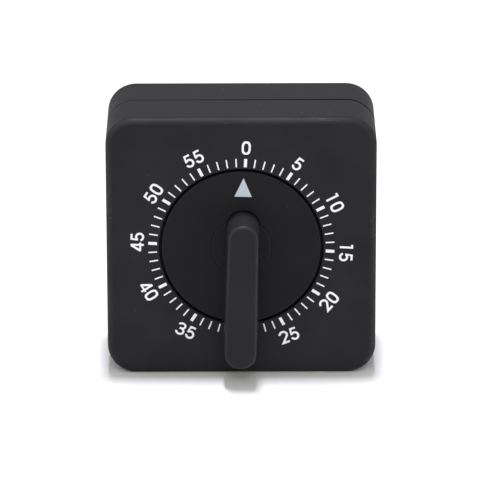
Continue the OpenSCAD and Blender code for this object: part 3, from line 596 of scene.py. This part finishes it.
# %% Places of the screws and the arbor
BOSS_STEPS = 32
BORE_STEPS = 32
HOLE_STEPS = 24
HEAD_STEPS = 40
ARBOR_HOLE_R = 2.4
BOSS_R = 4.0
HEAD_R = 2.5
CASE_SCREW_R = 1.25
CASE_SCREW_BITE = 7.0
PLATE_SCREW_R = 0.9
PLATE_SCREW_MARGIN = 2.24
PLATE_BOSS_R = 3.1
SCREW_SKIN = 1.2
PLATE_SCREW_TURNS = [math.radians(turn) for turn in (0, 120, 240)]

screw_x = (screws_high.x - screws_low.x) / 2 - HEAD_R
plate_screw_ring = well_r + PLATE_SCREW_MARGIN
CASE_SCREWS = [(sx * screw_x, dial_z + sz * screw_x) for sx in (-1, 1) for sz in (-1, 1)]
PLATE_SCREWS = [(plate_screw_ring * math.sin(turn), dial_z + plate_screw_ring * math.cos(turn))
                for turn in PLATE_SCREW_TURNS]
print(f"case screws {screw_x:.2f} mm, plate screws {plate_screw_ring:.2f} mm from the axis")


# %% Helper that rounds the rims of holes
RIM_ANGLE = math.radians(60)
RIM_STEPS = 3


def soften_rims(piece, level, radius, reach):
    """Rounds the rims of holes in a flat at that level, within a reach of the dial's axis."""
    def change(bm):
        rims = [e for e in edges_at(bm, level)
                if len(e.link_faces) == 2 and e.calc_face_angle(0.0) > RIM_ANGLE
                and all(math.hypot(v.co.x, v.co.z - dial_z) < reach for v in e.verts)]
        bevel(bm, rims, radius, RIM_STEPS)
        bmesh.ops.remove_doubles(bm, verts=bm.verts, dist=MERGE_REACH)
    reshape(piece, change)


# %% Model the front shell
step_w = case_w - 2 * SEAM_GAP_DEPTH
step_y = seam_y - STEP_REACH
wall_end_y = seam_y - SEAM_GAP

front_block = rounded_block(case_w, case_h, face_y, wall_end_y, CORNER_R,
                            FACE_EDGE_R, SEAM_EDGE_R)
for vert in front_block.verts:
    if vert.co.y > wall_end_y - 2 * SEAM_EDGE_R:
        vert.co.y -= SEAM_SKEW * vert.co.x / (case_w / 2)
front_shell = solid("front_shell_black", front_block)
seam_step = rounded_block(step_w, step_w, step_y, seam_y, CORNER_R - SEAM_GAP_DEPTH)
combine(front_shell, seam_step, "UNION")
front_hollow = rounded_block(inner_w, inner_h, inner_face_y, seam_y + PAST, inner_corner_r)
combine(front_shell, front_hollow, "DIFFERENCE")

boss_y = inner_face_y - PAST
combine(front_shell, post(well_r + WELL_WALL, boss_y, plate_y), "UNION")
plate_bosses = posts(PLATE_BOSS_R, boss_y, plate_y, PLATE_SCREWS, BOSS_STEPS)
case_bosses = posts(BOSS_R, boss_y, seam_y, CASE_SCREWS, BOSS_STEPS)
combine(front_shell, together(plate_bosses + case_bosses), "UNION")
well = post(well_r, face_y - PAST, well_floor_y, steps=2 * ROUND_STEPS)
combine(front_shell, well, "DIFFERENCE")

arbor_hole = post(ARBOR_HOLE_R, face_y, plate_y + PAST, steps=BORE_STEPS)
plate_holes = posts(PLATE_SCREW_R, face_y + SCREW_SKIN, plate_y + PAST, PLATE_SCREWS, HOLE_STEPS)
case_hole_y = seam_y - CASE_SCREW_BITE - PAST
case_holes = posts(CASE_SCREW_R, case_hole_y, seam_y + PAST, CASE_SCREWS, HOLE_STEPS)
combine(front_shell, together([arbor_hole] + plate_holes + case_holes), "DIFFERENCE")
soften_rims(front_shell, face_y, RIM_R, well_r + PAST)
finish_piece(front_shell, "case", CASE_PLASTIC, "front_shell")

# %% [markdown]
# ## Rear shell
# The rear shell closes the case. A thin tongue on its rim lines it up inside the front shell. Four
# wells take the screws, and a row of slots in the middle lets the bell be heard.

# %% Sizes of the rear shell
TONGUE_GAP = 0.1
TONGUE_T = 0.9
SCREW_HOLE_R = 1.5
HEAD_WELL_R = 2.8
HEAD_WELL_DEPTH = 4.0
SLOT_COUNT = 5
SLOT_L = 18.0
SLOT_W = 1.8
SLOT_PITCH = 5.0
BACK_RIM_R = 0.25

tongue_reach = seam_y - tongue_y
root_y = seam_y + tongue_reach
inner_back_y = back_y - BACK_WALL
head_seat_y = back_y - HEAD_WELL_DEPTH
tongue_w = inner_w - 2 * TONGUE_GAP
tongue_r = inner_corner_r - TONGUE_GAP
mouth_w = tongue_w - 2 * TONGUE_T
mouth_r = tongue_r - TONGUE_T
print(f"tongue {tongue_reach:.1f} mm long, {SLOT_COUNT} slots of {SLOT_L} x {SLOT_W} mm")

# %% Model the rear shell
rear_block = rounded_block(case_w, case_h, seam_y, back_y, CORNER_R, SEAM_EDGE_R, BACK_EDGE_R)
for vert in rear_block.verts:
    if vert.co.y < seam_y + 2 * SEAM_EDGE_R:
        vert.co.y += REAR_SEAM_GAP * (1 + vert.co.x / (case_w / 2))
rear_shell = solid("rear_shell_black", rear_block)
tongue = rounded_block(tongue_w, tongue_w, tongue_y, seam_y + PAST, tongue_r)
combine(rear_shell, tongue, "UNION")
mouth = rounded_block(mouth_w, mouth_w, tongue_y - PAST, root_y + PAST, mouth_r)
combine(rear_shell, mouth, "DIFFERENCE")
rear_hollow = rounded_block(inner_w, inner_h, root_y, inner_back_y, inner_corner_r)
combine(rear_shell, rear_hollow, "DIFFERENCE")

rear_bosses = posts(BOSS_R, seam_y, inner_back_y + PAST, CASE_SCREWS, BOSS_STEPS)
combine(rear_shell, together(rear_bosses), "UNION")
screw_holes = posts(SCREW_HOLE_R, seam_y - PAST, head_seat_y + PAST, CASE_SCREWS, HOLE_STEPS)
combine(rear_shell, together(screw_holes), "DIFFERENCE")
head_wells = posts(HEAD_WELL_R, head_seat_y, back_y + PAST, CASE_SCREWS, HEAD_STEPS)
bell_slots = []
for row in range(SLOT_COUNT):
    slot_z = dial_z + (row - (SLOT_COUNT - 1) / 2) * SLOT_PITCH
    slot_ends = [((side * (SLOT_L - SLOT_W) / 2, slot_z), SLOT_W / 2) for side in (-1, 1)]
    bell_slots.append(oblong_block(slot_ends, inner_back_y - PAST, back_y + PAST))
combine(rear_shell, together(head_wells + bell_slots), "DIFFERENCE")
soften_rims(rear_shell, back_y, BACK_RIM_R, case_w)
finish_piece(rear_shell, "case", CASE_PLASTIC, "rear_shell")

# %% [markdown]
# ## The knob: disc, hub and bar
# The knob is three mouldings that turn as one. A flat disc fills the well. A small round hub plate
# sits in the middle of it, just proud, with a rounded rim. The bar is what fingers hold. Its upper
# end goes down into a pocket of the disc that leaves a narrow gap, which reads as a dark line.

# %% Sizes of the knob
KNOB_TURN = math.radians(1.4)
DISC_EDGE_R = 0.4
HUB_R = 7.85
HUB_T = 1.4
HUB_PROUD = 0.25
HUB_RIM_W = 0.45
HUB_RIM_STEPS = 5
STEM_R = 3.6
SEAT_GAP = 0.02
SEAT_MOUTH = 0.1
HANDLE_W = 8.7
TAIL_W = 9.25
BAR_SHIFT = 0.36
HANDLE_TOP = 9.7
HANDLE_TAIL = 30.6
HANDLE_DRAFT = 0.45
HANDLE_EDGE_R = 0.9
FIRST_LIFT = 0.01
TAIL_GAP = 0.8
TAIL_CUT_IN = 1.0
FOOT_STEP = 0.06
FOOT_IN_BAR = 0.5
POCKET_GAP = 0.12
POCKET_SHIFT = 0.35
POCKET_DEPTH = 1.1
SOCKET_DEPTH = 5.0
SOCKET_R = 2.05
SOCKET_FLAT = 0.6

hub_y = face_y - HUB_PROUD
hub_back_y = hub_y + HUB_T
seat_r = HUB_R + SEAT_GAP
stem_hole_r = STEM_R + SEAT_GAP
BAR_TOP = ((BAR_SHIFT, dial_z + HANDLE_TOP - HANDLE_W / 2), HANDLE_W / 2)
BAR_TAIL = ((BAR_SHIFT, dial_z - HANDLE_TAIL + TAIL_W / 2), TAIL_W / 2)
print(f"bar {HANDLE_TOP + HANDLE_TAIL:.1f} mm long, {face_y - handle_front_y:.1f} mm high")


# %% Helpers for the knob
def cut_pocket(piece):
    """Cuts the pocket that the bar's upper end stands in."""
    (at_x, at_z), end_r = BAR_TOP
    pocket = post(end_r + POCKET_GAP, face_y - PAST, face_y + POCKET_DEPTH,
                  (at_x, at_z + POCKET_SHIFT))
    combine(piece, pocket, "DIFFERENCE")


def turn_knob(piece):
    """Gives a piece the knob's slight turn at rest."""
    piece.data.transform(Matrix.Translation((0, 0, dial_z)) @ Matrix.Rotation(KNOB_TURN, 4, "Y")
                         @ Matrix.Translation((0, 0, -dial_z)))


# %% Model the dial disc and the hub plate
disc_profile = (
    [(stem_hole_r, hub_back_y), (seat_r, hub_back_y), (seat_r, face_y + SEAT_MOUTH),
     (seat_r + SEAT_MOUTH, face_y)]
    + arc(disc_r - DISC_EDGE_R, face_y + DISC_EDGE_R, DISC_EDGE_R, DISC_EDGE_R, -90, 0, EDGE_STEPS)
    + [(disc_r, disc_back_y), (stem_hole_r, disc_back_y)]
)
knob_disc = solid("dial_disc_black", turned(disc_profile, steps=2 * ROUND_STEPS))
cut_pocket(knob_disc)
turn_knob(knob_disc)
finish_piece(knob_disc, "knob", DISC_PLASTIC, "knob_disc")

hub_profile = (
    [(0, hub_y)]
    + arc(HUB_R - HUB_RIM_W, face_y, HUB_RIM_W, HUB_PROUD, -90, 0, HUB_RIM_STEPS)
    + [(HUB_R, hub_back_y), (0, hub_back_y)]
)
hub_plate = solid("hub_plate_black", turned(hub_profile))
cut_pocket(hub_plate)
turn_knob(hub_plate)
finish_piece(hub_plate, "knob", DISC_PLASTIC, "knob_handle")

# %% [markdown]
# The bar starts as its outline seen from the front, two round ends joined by straight sides. A
# first lift by a hair makes a closed block of it. Insetting the front face with a depth then raises
# the bar with a little draft, as a moulding needs. Its front edge is rounded, its tail is cut clear
# of the case, its foot and its stem are joined to it, and a socket with one flat takes the arbor.

# %% Model the bar
bar_bm = oblong([BAR_TOP, BAR_TAIL], face_y)
raise_flat(bar_bm, -FIRST_LIFT)
front_face = [f for f in bar_bm.faces if f.normal.y < -0.5]
bmesh.ops.inset_region(bar_bm, faces=front_face, thickness=HANDLE_DRAFT,
                       depth=face_y - handle_front_y - FIRST_LIFT)
bevel(bar_bm, edges_at(bar_bm, handle_front_y), HANDLE_EDGE_R, EDGE_STEPS)
bar = solid("bar_handle_black", bar_bm)

tail_start_r = disc_r - TAIL_CUT_IN
tail_end_r = 2 * disc_r
tail_cut = turned([(tail_start_r, face_y - TAIL_GAP), (tail_end_r, face_y - TAIL_GAP),
                   (tail_end_r, face_y + PAST), (tail_start_r, face_y + PAST)])
combine(bar, tail_cut, "DIFFERENCE")
foot = post(BAR_TOP[1] - FOOT_STEP, face_y - FOOT_IN_BAR, face_y + POCKET_DEPTH, BAR_TOP[0])
combine(bar, foot, "UNION")
combine(bar, post(STEM_R, face_y, stem_end_y), "UNION")

socket = post(SOCKET_R, stem_end_y - SOCKET_DEPTH, stem_end_y + PAST, steps=BORE_STEPS)
flat_z = dial_z + SOCKET_R - SOCKET_FLAT
bmesh.ops.bisect_plane(socket, geom=socket.verts[:] + socket.edges[:] + socket.faces[:],
                       plane_co=(0, 0, flat_z), plane_no=(0, 0, 1), clear_outer=True)
bmesh.ops.contextual_create(socket, geom=[e for e in socket.edges if e.is_boundary])
combine(bar, socket, "DIFFERENCE")
turn_knob(bar)
finish_piece(bar, "knob", HANDLE_PLASTIC, "knob_handle")

# %% [markdown]
# ## Printed scale
# The minute marks, the numerals and the pointer are pad-printed ink, two hundredths of a
# millimetre thick. They are modelled as thin plates that stand just proud of the plastic, so that
# they stay crisp at any distance. The numerals are drawn from arcs and straight strokes.

# %% Ink
INK_SPECULAR = 0.3


def printing_ink(name, dark, light, rough, per_metre, contrast):
    """Pad-printed ink that lies a little unevenly, with its darkest and lightest tone."""
    material, tree, shader = new_material(name, dark, rough, specular=INK_SPECULAR)
    cloud = place_group(tree, MOTTLE, per_metre=per_metre, contrast=contrast).outputs["Mask"]
    tree.links.new(mix_colours(tree, cloud, dark, light), shader.inputs["Base Color"])
    return material


PRINT_WHITE = printing_ink("white printing ink", dark=(0.88, 0.88, 0.88),
                           light=(0.96, 0.96, 0.96), rough=0.55, per_metre=900.0, contrast=0.6)
POINTER_INK = printing_ink("pale blue-grey ink", dark=(0.47, 0.54, 0.59),
                           light=(0.56, 0.63, 0.675), rough=0.5, per_metre=2500.0, contrast=0.5)
print("inks:", PRINT_WHITE.name, POINTER_INK.name)

# %% Helpers that lay ink on the dial
INK_T = 0.02
SCALE_TURN = 2.8
KEY_DIGITS = 4


def rim_key(edge):
    """Where an edge lies when seen from the front, rounded so that front and back agree."""
    return tuple(sorted((round(v.co.x, KEY_DIGITS), round(v.co.z, KEY_DIGITS))
                        for v in edge.verts))


def skirt(bm, edges, back_edges):
    """Joins the front and back rims of an outline with holes, edge by edge."""
    partner = {rim_key(edge): edge for edge in back_edges}
    for edge in edges:
        bmesh.ops.contextual_create(bm, geom=[edge, partner[rim_key(edge)]])


def ink_plate(bm, loops, to_dial):
    """Fills flat outlines, the first outside and the others holes, as a plate of ink."""
    edges = []
    for loop in loops:
        verts = [bm.verts.new(to_dial(x, y)) for x, y in loop]
        edges += [bm.edges.new(pair) for pair in zip(verts, verts[1:] + verts[:1])]
    filled = bmesh.ops.triangle_fill(bm, use_beauty=True, edges=edges, normal=(0, -1, 0))["geom"]
    faces = only(bmesh.types.BMFace, filled)
    for face in faces:
        if face.normal.y > 0:
            face.normal_flip()
    back = bmesh.ops.duplicate(bm, geom=faces)["geom"]
    back_edges = [e for e in only(bmesh.types.BMEdge, back) if len(e.link_faces) == 1]
    bmesh.ops.translate(bm, vec=(0, INK_T, 0), verts=only(bmesh.types.BMVert, back))
    bmesh.ops.reverse_faces(bm, faces=only(bmesh.types.BMFace, back))
    if len(loops) == 1:
        bmesh.ops.bridge_loops(bm, edges=edges + back_edges)
    else:
        skirt(bm, edges, back_edges)


def clock_frame(clock):
    """The directions outwards and onwards at a place of the dial."""
    turn = math.radians(clock)
    outwards = Vector((math.sin(turn), 0, math.cos(turn)))
    onwards = Vector((math.cos(turn), 0, -math.sin(turn)))
    return outwards, onwards


def on_dial(radius, clock, flipped=False, nudge=(0.0, 0.0), lean=0.0):
    """A function that puts flat x, y, centred on a place of the dial, into the model."""
    middle = Vector((nudge[0], face_y - INK_T, dial_z + nudge[1])) + radius * clock_frame(clock)[0]
    out, along = clock_frame(clock + lean)
    sign = -1 if flipped else 1
    return lambda x, y: middle + sign * (x * along + y * out)


def finish_print(name, bm, body, ink):
    """Turns the faces of a print outwards and finishes it as a piece."""
    bmesh.ops.recalc_face_normals(bm, faces=bm.faces)
    finish_piece(solid(name, bm), body, ink)


# %% [markdown]
# The minute marks are sixty small bars, with a broad one every five minutes. A slight turn of the
# whole scale on the face is kept, as such prints are seldom perfectly upright.

# %% Print the minute marks
MINUTES = 60
NUMERAL_STEP = 5
MINUTE_TURN = 360 / MINUTES
MARK_INNER_R = 21.9
MARK_OUTER_R = 24.15
MARK_W = 0.35
BROAD_MARK_W = 0.8

marks = bmesh.new()
mark_r = (MARK_INNER_R + MARK_OUTER_R) / 2
half_l = (MARK_OUTER_R - MARK_INNER_R) / 2
for minute in range(MINUTES):
    half_w = (MARK_W if minute % NUMERAL_STEP else BROAD_MARK_W) / 2
    corners = [(-half_w, -half_l), (half_w, -half_l), (half_w, half_l), (-half_w, half_l)]
    ink_plate(marks, [corners], on_dial(mark_r, SCALE_TURN + minute * MINUTE_TURN))
finish_print("minute_marks_print", marks, "case", PRINT_WHITE)

# %% [markdown]
# Each digit is one closed outline, some with a hole. The outlines live in a small drawing frame
# whose origin is the lower left corner of the digit, with sizes in millimetres.

# %% Pen strokes and ovals
DIGIT_H = 3.55
DIGIT_W = 2.5
ZERO_W = 2.34
STROKE = 0.55
ARC_STEPS = 14
BOWL_STEPS = 2 * ARC_STEPS
OVAL_STEPS = 4 * ARC_STEPS
MITRE_LIMIT = 0.3


def oval(centre, radii, power):
    """A closed oval that is squarer than an ellipse when its power is above 2."""
    points = []
    for k in range(OVAL_STEPS):
        a = 2 * math.pi * k / OVAL_STEPS
        x, y = (math.copysign(abs(f) ** (2 / power), f) for f in (math.cos(a), math.sin(a)))
        points.append((centre[0] + radii[0] * x, centre[1] + radii[1] * y))
    return points


def pen_stroke(path, width):
    """The outline of a pen stroke along a path, with mitred corners."""
    left, right = [], []
    for i, point in enumerate(path):
        here = Vector(point)
        before = Vector(path[max(i - 1, 0)])
        after = Vector(path[min(i + 1, len(path) - 1)])
        into = (here - before).normalized() if i else (after - here).normalized()
        out = (after - here).normalized() if i < len(path) - 1 else into
        across = Vector((-(into + out).y, (into + out).x)).normalized()
        reach = width / 2 / max(across.dot(Vector((-into.y, into.x))), MITRE_LIMIT)
        left.append(tuple(here + reach * across))
        right.append(tuple(here - reach * across))
    return left + right[::-1]


# %% Draw the digits
def digit_0():
    """A squarish ring."""
    middle = (DIGIT_W / 2, DIGIT_H / 2)
    half = (ZERO_W / 2, DIGIT_H / 2 + 0.03)
    return [oval(middle, half, 2.8), oval(middle, [h - STROKE for h in half], 2.5)]


def digit_1():
    """An upright with a short flag to the left."""
    left, right = 1.04, 1.04 + STROKE
    return [[(left, 0.05), (right, 0.05), (right, DIGIT_H - 0.03), (0.52, DIGIT_H - 0.08),
             (0.56, DIGIT_H - 0.62), (left, DIGIT_H - 0.55)]]


def digit_2():
    """One pen stroke round a bowl, down a slope and along the foot."""
    bowl = arc(1.24, DIGIT_H - 1.12, 0.96, 0.86, 172, -40, BOWL_STEPS)
    return [pen_stroke(bowl + [(0.5, STROKE / 2), (2.25, STROKE / 2)], STROKE)]


def digit_3():
    """Two open bowls that meet in a short bar."""
    upper, lower = (1.2, 2.585), (1.2, 1.07)
    return [arc(*upper, 1.12, 0.965, 165, -46, BOWL_STEPS)
            + arc(*lower, 1.23, 1.07, 50, -168, BOWL_STEPS)
            + arc(*lower, 0.71, 0.55, -168, 90, BOWL_STEPS)
            + [(0.8, 1.62), (0.8, 2.14)]
            + arc(*upper, 0.6, 0.445, -90, 165, BOWL_STEPS)]


def digit_4():
    """A closed four with a three-cornered hole."""
    outside = [(1.56, 0.08), (2.1, 0.08), (2.1, 0.78), (2.46, 0.78), (2.46, 1.24), (2.1, 1.24),
               (2.1, DIGIT_H - 0.04), (1.5, DIGIT_H - 0.04), (0.08, 1.28), (0.08, 0.78),
               (1.56, 0.78)]
    return [outside, [(0.75, 1.24), (1.56, 1.24), (1.56, 2.55)]]


def digit_5():
    """A flag and a short back over an open bowl."""
    bowl = (1.22, 1.19)
    return [[(0.48, DIGIT_H), (0.24, 1.62), (0.72, 1.58)]
            + arc(*bowl, 0.64, 0.64, 142, -165, BOWL_STEPS)
            + arc(*bowl, 1.2, 1.19, -165, 115, BOWL_STEPS)
            + [(0.95, 3.02), (2.06, 3.02), (2.06, DIGIT_H)]]


DIGITS = {"0": digit_0, "1": digit_1, "2": digit_2, "3": digit_3, "4": digit_4, "5": digit_5}
print("digits drawn:", " ".join(DIGITS))

# %% [markdown]
# The numerals fan out round the dial with their feet inwards. Those of the lower half are turned
# round, so that none stands on its head. One table moves each by up to half a millimetre and leans
# it by up to eight degrees, because a printed scale like this is laid out by eye and not by a rule.

# %% Print the numerals
NUMERAL_R = 27.17
DIGIT_PITCH = 2.76
UPSIDE_DOWN = range(20, 45)
# Minute: shift to the right and upwards in millimetres, and lean in degrees.
NUDGES = {0: (0.0, -0.06, 0.0), 5: (-0.08, -0.17, 2.3), 10: (0.0, -0.17, 0.0),
          15: (0.04, -0.1, 0.6), 20: (-0.05, -0.26, 7.1), 25: (0.0, -0.26, 5.7),
          30: (0.0, 0.0, 0.0), 35: (0.19, -0.19, -8.0), 40: (0.0, 0.46, -5.6),
          45: (0.18, 0.23, -1.6), 50: (0.2, 0.05, 0.6), 55: (0.18, 0.0, 0.0)}

numerals = bmesh.new()
for minute in range(0, MINUTES, NUMERAL_STEP):
    label = str(minute)
    clock = SCALE_TURN + minute * MINUTE_TURN
    *nudge, lean = NUDGES[minute]
    place = on_dial(NUMERAL_R, clock, minute in UPSIDE_DOWN, nudge, lean)
    for i, digit in enumerate(label):
        shift = (i - (len(label) - 1) / 2) * DIGIT_PITCH - DIGIT_W / 2
        outlines = [[(x + shift, y - DIGIT_H / 2) for x, y in loop] for loop in DIGITS[digit]()]
        ink_plate(numerals, outlines, place)
finish_print("minute_numerals_print", numerals, "case", PRINT_WHITE)

# %% [markdown]
# The pointer is a plain triangle of paler, greyer ink on the disc, in line with the handle.

# %% Print the pointer
POINTER_APEX_R = 18.9
POINTER_BASE_R = 13.83
POINTER_W = 4.5
POINTER_SHIFT = 0.15

pointer = bmesh.new()
pointer_outline = [(POINTER_SHIFT - POINTER_W / 2, POINTER_BASE_R),
                   (POINTER_SHIFT + POINTER_W / 2, POINTER_BASE_R),
                   (POINTER_SHIFT, POINTER_APEX_R)]
ink_plate(pointer, [pointer_outline], on_dial(0, math.degrees(KNOB_TURN)))
finish_print("pointer_print", pointer, "knob", POINTER_INK)

# %% [markdown]
# ## Metals of the clockwork
# The plates, arbors and wheels come from the frame as they are and only get their finishes: drawn
# steel, stamped brass, blued spring strip, zinc-plated screws and a nickelled bell. One group makes
# the fine lines that drawing and stamping leave, and each metal sets its own tones.

# %% Fine lines and metals
LINES_PER_METRE = 900.0
LINE_STRETCH = (1.0, 6.0, 14.0)


def build_lines():
    """Fine lines along one direction of the sheet, as drawing or grinding leaves."""
    group, start, end = new_group("drawn lines", {"Per metre": LINES_PER_METRE}, ("Height",))
    lines = noise(group, start.outputs["Per metre"], detail=3.0, stretch=LINE_STRETCH)
    group.links.new(lines, end.inputs["Height"])
    return group


LINES = build_lines()


def metal(name, dark, light, rough, line_depth, per_metre=LINES_PER_METRE):
    """A worked metal with a mottle of two tones and fine lines."""
    material, tree, shader = new_material(name, dark, rough[0], metallic=1.0)
    cloud = place_group(tree, MOTTLE, per_metre=220.0, contrast=0.7).outputs["Mask"]
    lines = place_group(tree, LINES, per_metre=per_metre).outputs["Height"]
    tree.links.new(mix_colours(tree, cloud, dark, light), shader.inputs["Base Color"])
    tree.links.new(remap(tree, lines, 0.3, 0.7, *rough), shader.inputs["Roughness"])
    tree.links.new(bump(tree, lines, line_depth), shader.inputs["Normal"])
    return material


METALS = {
    "steel": metal("drawn steel", dark=(0.5, 0.51, 0.52), light=(0.6, 0.61, 0.62),
                   rough=(0.22, 0.38), line_depth=1e-5),
    "brass": metal("stamped brass", dark=(0.66, 0.46, 0.2), light=(0.76, 0.58, 0.3),
                   rough=(0.2, 0.36), line_depth=8e-6),
    "spring_steel": metal("blued spring steel", dark=(0.09, 0.11, 0.17), light=(0.16, 0.18, 0.24),
                          rough=(0.24, 0.34), line_depth=6e-6),
    "screw_steel": metal("zinc-plated steel", dark=(0.6, 0.61, 0.62), light=(0.72, 0.72, 0.7),
                         rough=(0.2, 0.32), line_depth=5e-6),
    "bell_steel": metal("nickelled steel", dark=(0.66, 0.65, 0.62), light=(0.74, 0.73, 0.7),
                        rough=(0.1, 0.2), line_depth=3e-6, per_metre=500.0),
}
slot_of = {part["node"]: part["material_slot"] for part in frame["record"]["subparts"]}
for node, part in frame["nodes"].items():
    if slot_of[node] in METALS:
        part.data.materials.clear()
        part.data.materials.append(METALS[slot_of[node]])
print("metal finishes:", ", ".join(METALS))

# %% [markdown]
# ## Case screws
# Four cross-head screws hold the shells together. Each is turned with a domed head, and a tapered
# cross is cut into it.

# %% Model the case screws
HEAD_H = 1.6
DOME_START = 8
CROSS_L = 3.0
CROSS_W = 0.55
CROSS_DEPTH = 0.9
CROSS_TAPER = (0.6, 1.0, 0.7)
CROSS_TURNS = (0.2, 1.1, 0.6, 1.4)

screw_tip_y = seam_y - CASE_SCREW_BITE
dome_h = HEAD_H / 2
dome_y = head_seat_y + dome_h
screw_profile = (
    [(0, screw_tip_y), (CASE_SCREW_R, screw_tip_y), (CASE_SCREW_R, head_seat_y),
     (HEAD_R, head_seat_y), (HEAD_R, dome_y)]
    + arc(0, dome_y, HEAD_R, dome_h, DOME_START, 90, EDGE_STEPS)
)


def cross_arm(place, turn):
    """One arm of the cross in a screw's head, narrower at its bottom."""
    bm = bmesh.new()
    bmesh.ops.create_cube(bm, size=1.0)
    bmesh.ops.scale(bm, vec=(CROSS_L, 2 * CROSS_DEPTH, CROSS_W), verts=bm.verts)
    bmesh.ops.scale(bm, vec=CROSS_TAPER, verts=[v for v in bm.verts if v.co.y < 0])
    bmesh.ops.rotate(bm, verts=bm.verts, matrix=Matrix.Rotation(turn, 3, "Y"))
    bmesh.ops.translate(bm, vec=(place[0], head_seat_y + HEAD_H, place[1]), verts=bm.verts)
    return bm


case_screws = solid("case_screws_zinc", bmesh.new())
for place, turn in zip(CASE_SCREWS, CROSS_TURNS):
    combine(case_screws, turned(screw_profile, place, HEAD_STEPS), "UNION")
    for quarter in (0.0, math.pi / 2):
        combine(case_screws, cross_arm(place, turn + quarter), "DIFFERENCE")
finish_piece(case_screws, "case", METALS["screw_steel"], "case_screws")

# %% [markdown]
# ## Studio
# The timer stands on a plain white floor under a soft box that hangs overhead and a little behind,
# with a weaker one in front and a pale room all round. The room is plain white to the camera and to
# anything shiny, and dimmer where it only lights the plastic. The floor keeps the shadow, and far
# from the timer it fades into the white of the room.

# %% Floor
FLOOR_REACH = 6000.0
FADE_START, FADE_END = 0.35, 1.2
NEAR_GLOW, FAR_GLOW = 0.02, 0.6

floor_bm = bmesh.new()
bmesh.ops.create_grid(floor_bm, x_segments=1, y_segments=1, size=FLOOR_REACH)
floor = solid("floor", floor_bm)
floor.data.transform(Matrix.Scale(MM, 4))
FLOOR_WHITE, floor_tree, floor_shader = new_material("white floor", (0.864, 0.868, 0.847), 0.9,
                                                     specular=0.1)
floor_shader.inputs["Emission Color"].default_value = (1, 1, 1, 1)
distance = floor_tree.nodes.new("ShaderNodeVectorMath")
distance.operation = "LENGTH"
floor_tree.links.new(object_place(floor_tree), distance.inputs[0])
glow = remap(floor_tree, distance.outputs["Value"], FADE_START, FADE_END, NEAR_GLOW, FAR_GLOW)
floor_ray = floor_tree.nodes.new("ShaderNodeLightPath")
floor_tree.links.new(math_node(floor_tree, "MULTIPLY", floor_ray.outputs["Is Camera Ray"], glow),
                     floor_shader.inputs["Emission Strength"])
floor.data.materials.append(FLOOR_WHITE)

# %% Room
ROOM_LIGHT = 0.56

world = bpy.data.worlds.new("pale room")
bpy.context.scene.world = world
world.use_nodes = True
room = world.node_tree
background = room.nodes["Background"]
background.inputs["Color"].default_value = (1, 1, 1, 1)
room_ray = room.nodes.new("ShaderNodeLightPath").outputs
seen = math_node(room, "MAXIMUM", room_ray["Is Camera Ray"], room_ray["Is Glossy Ray"])
seen = math_node(room, "MAXIMUM", seen, room_ray["Is Transmission Ray"])
room.links.new(remap(room, seen, 0.0, 1.0, ROOM_LIGHT, 1.0), background.inputs["Strength"])


# %% Soft boxes
def soft_box(name, place, size, power, colour=(1.0, 1.0, 1.0)):
    """A rectangular lamp that faces the timer, with its place and size in metres."""
    lamp = bpy.data.objects.new(name, bpy.data.lights.new(name, "AREA"))
    bpy.context.scene.collection.objects.link(lamp)
    lamp.data.shape = "RECTANGLE"
    lamp.data.size, lamp.data.size_y = size
    lamp.data.energy = power
    lamp.data.color = colour
    lamp.location = place
    lamp.visible_camera = False
    aim = Vector(place) - Vector((0, 0, dial_z * MM))
    lamp.rotation_mode = "QUATERNION"
    lamp.rotation_quaternion = aim.to_track_quat("Z", "Y")


soft_box("top_lamp", place=(0, 0.2, 2.5), size=(0.2, 0.3), power=51.4,
         colour=(0.985, 0.965, 1.09))
soft_box("front_lamp", place=(0, -0.9, 0.8), size=(0.5, 0.5), power=2.7)
bpy.context.scene.view_settings.view_transform = "Standard"
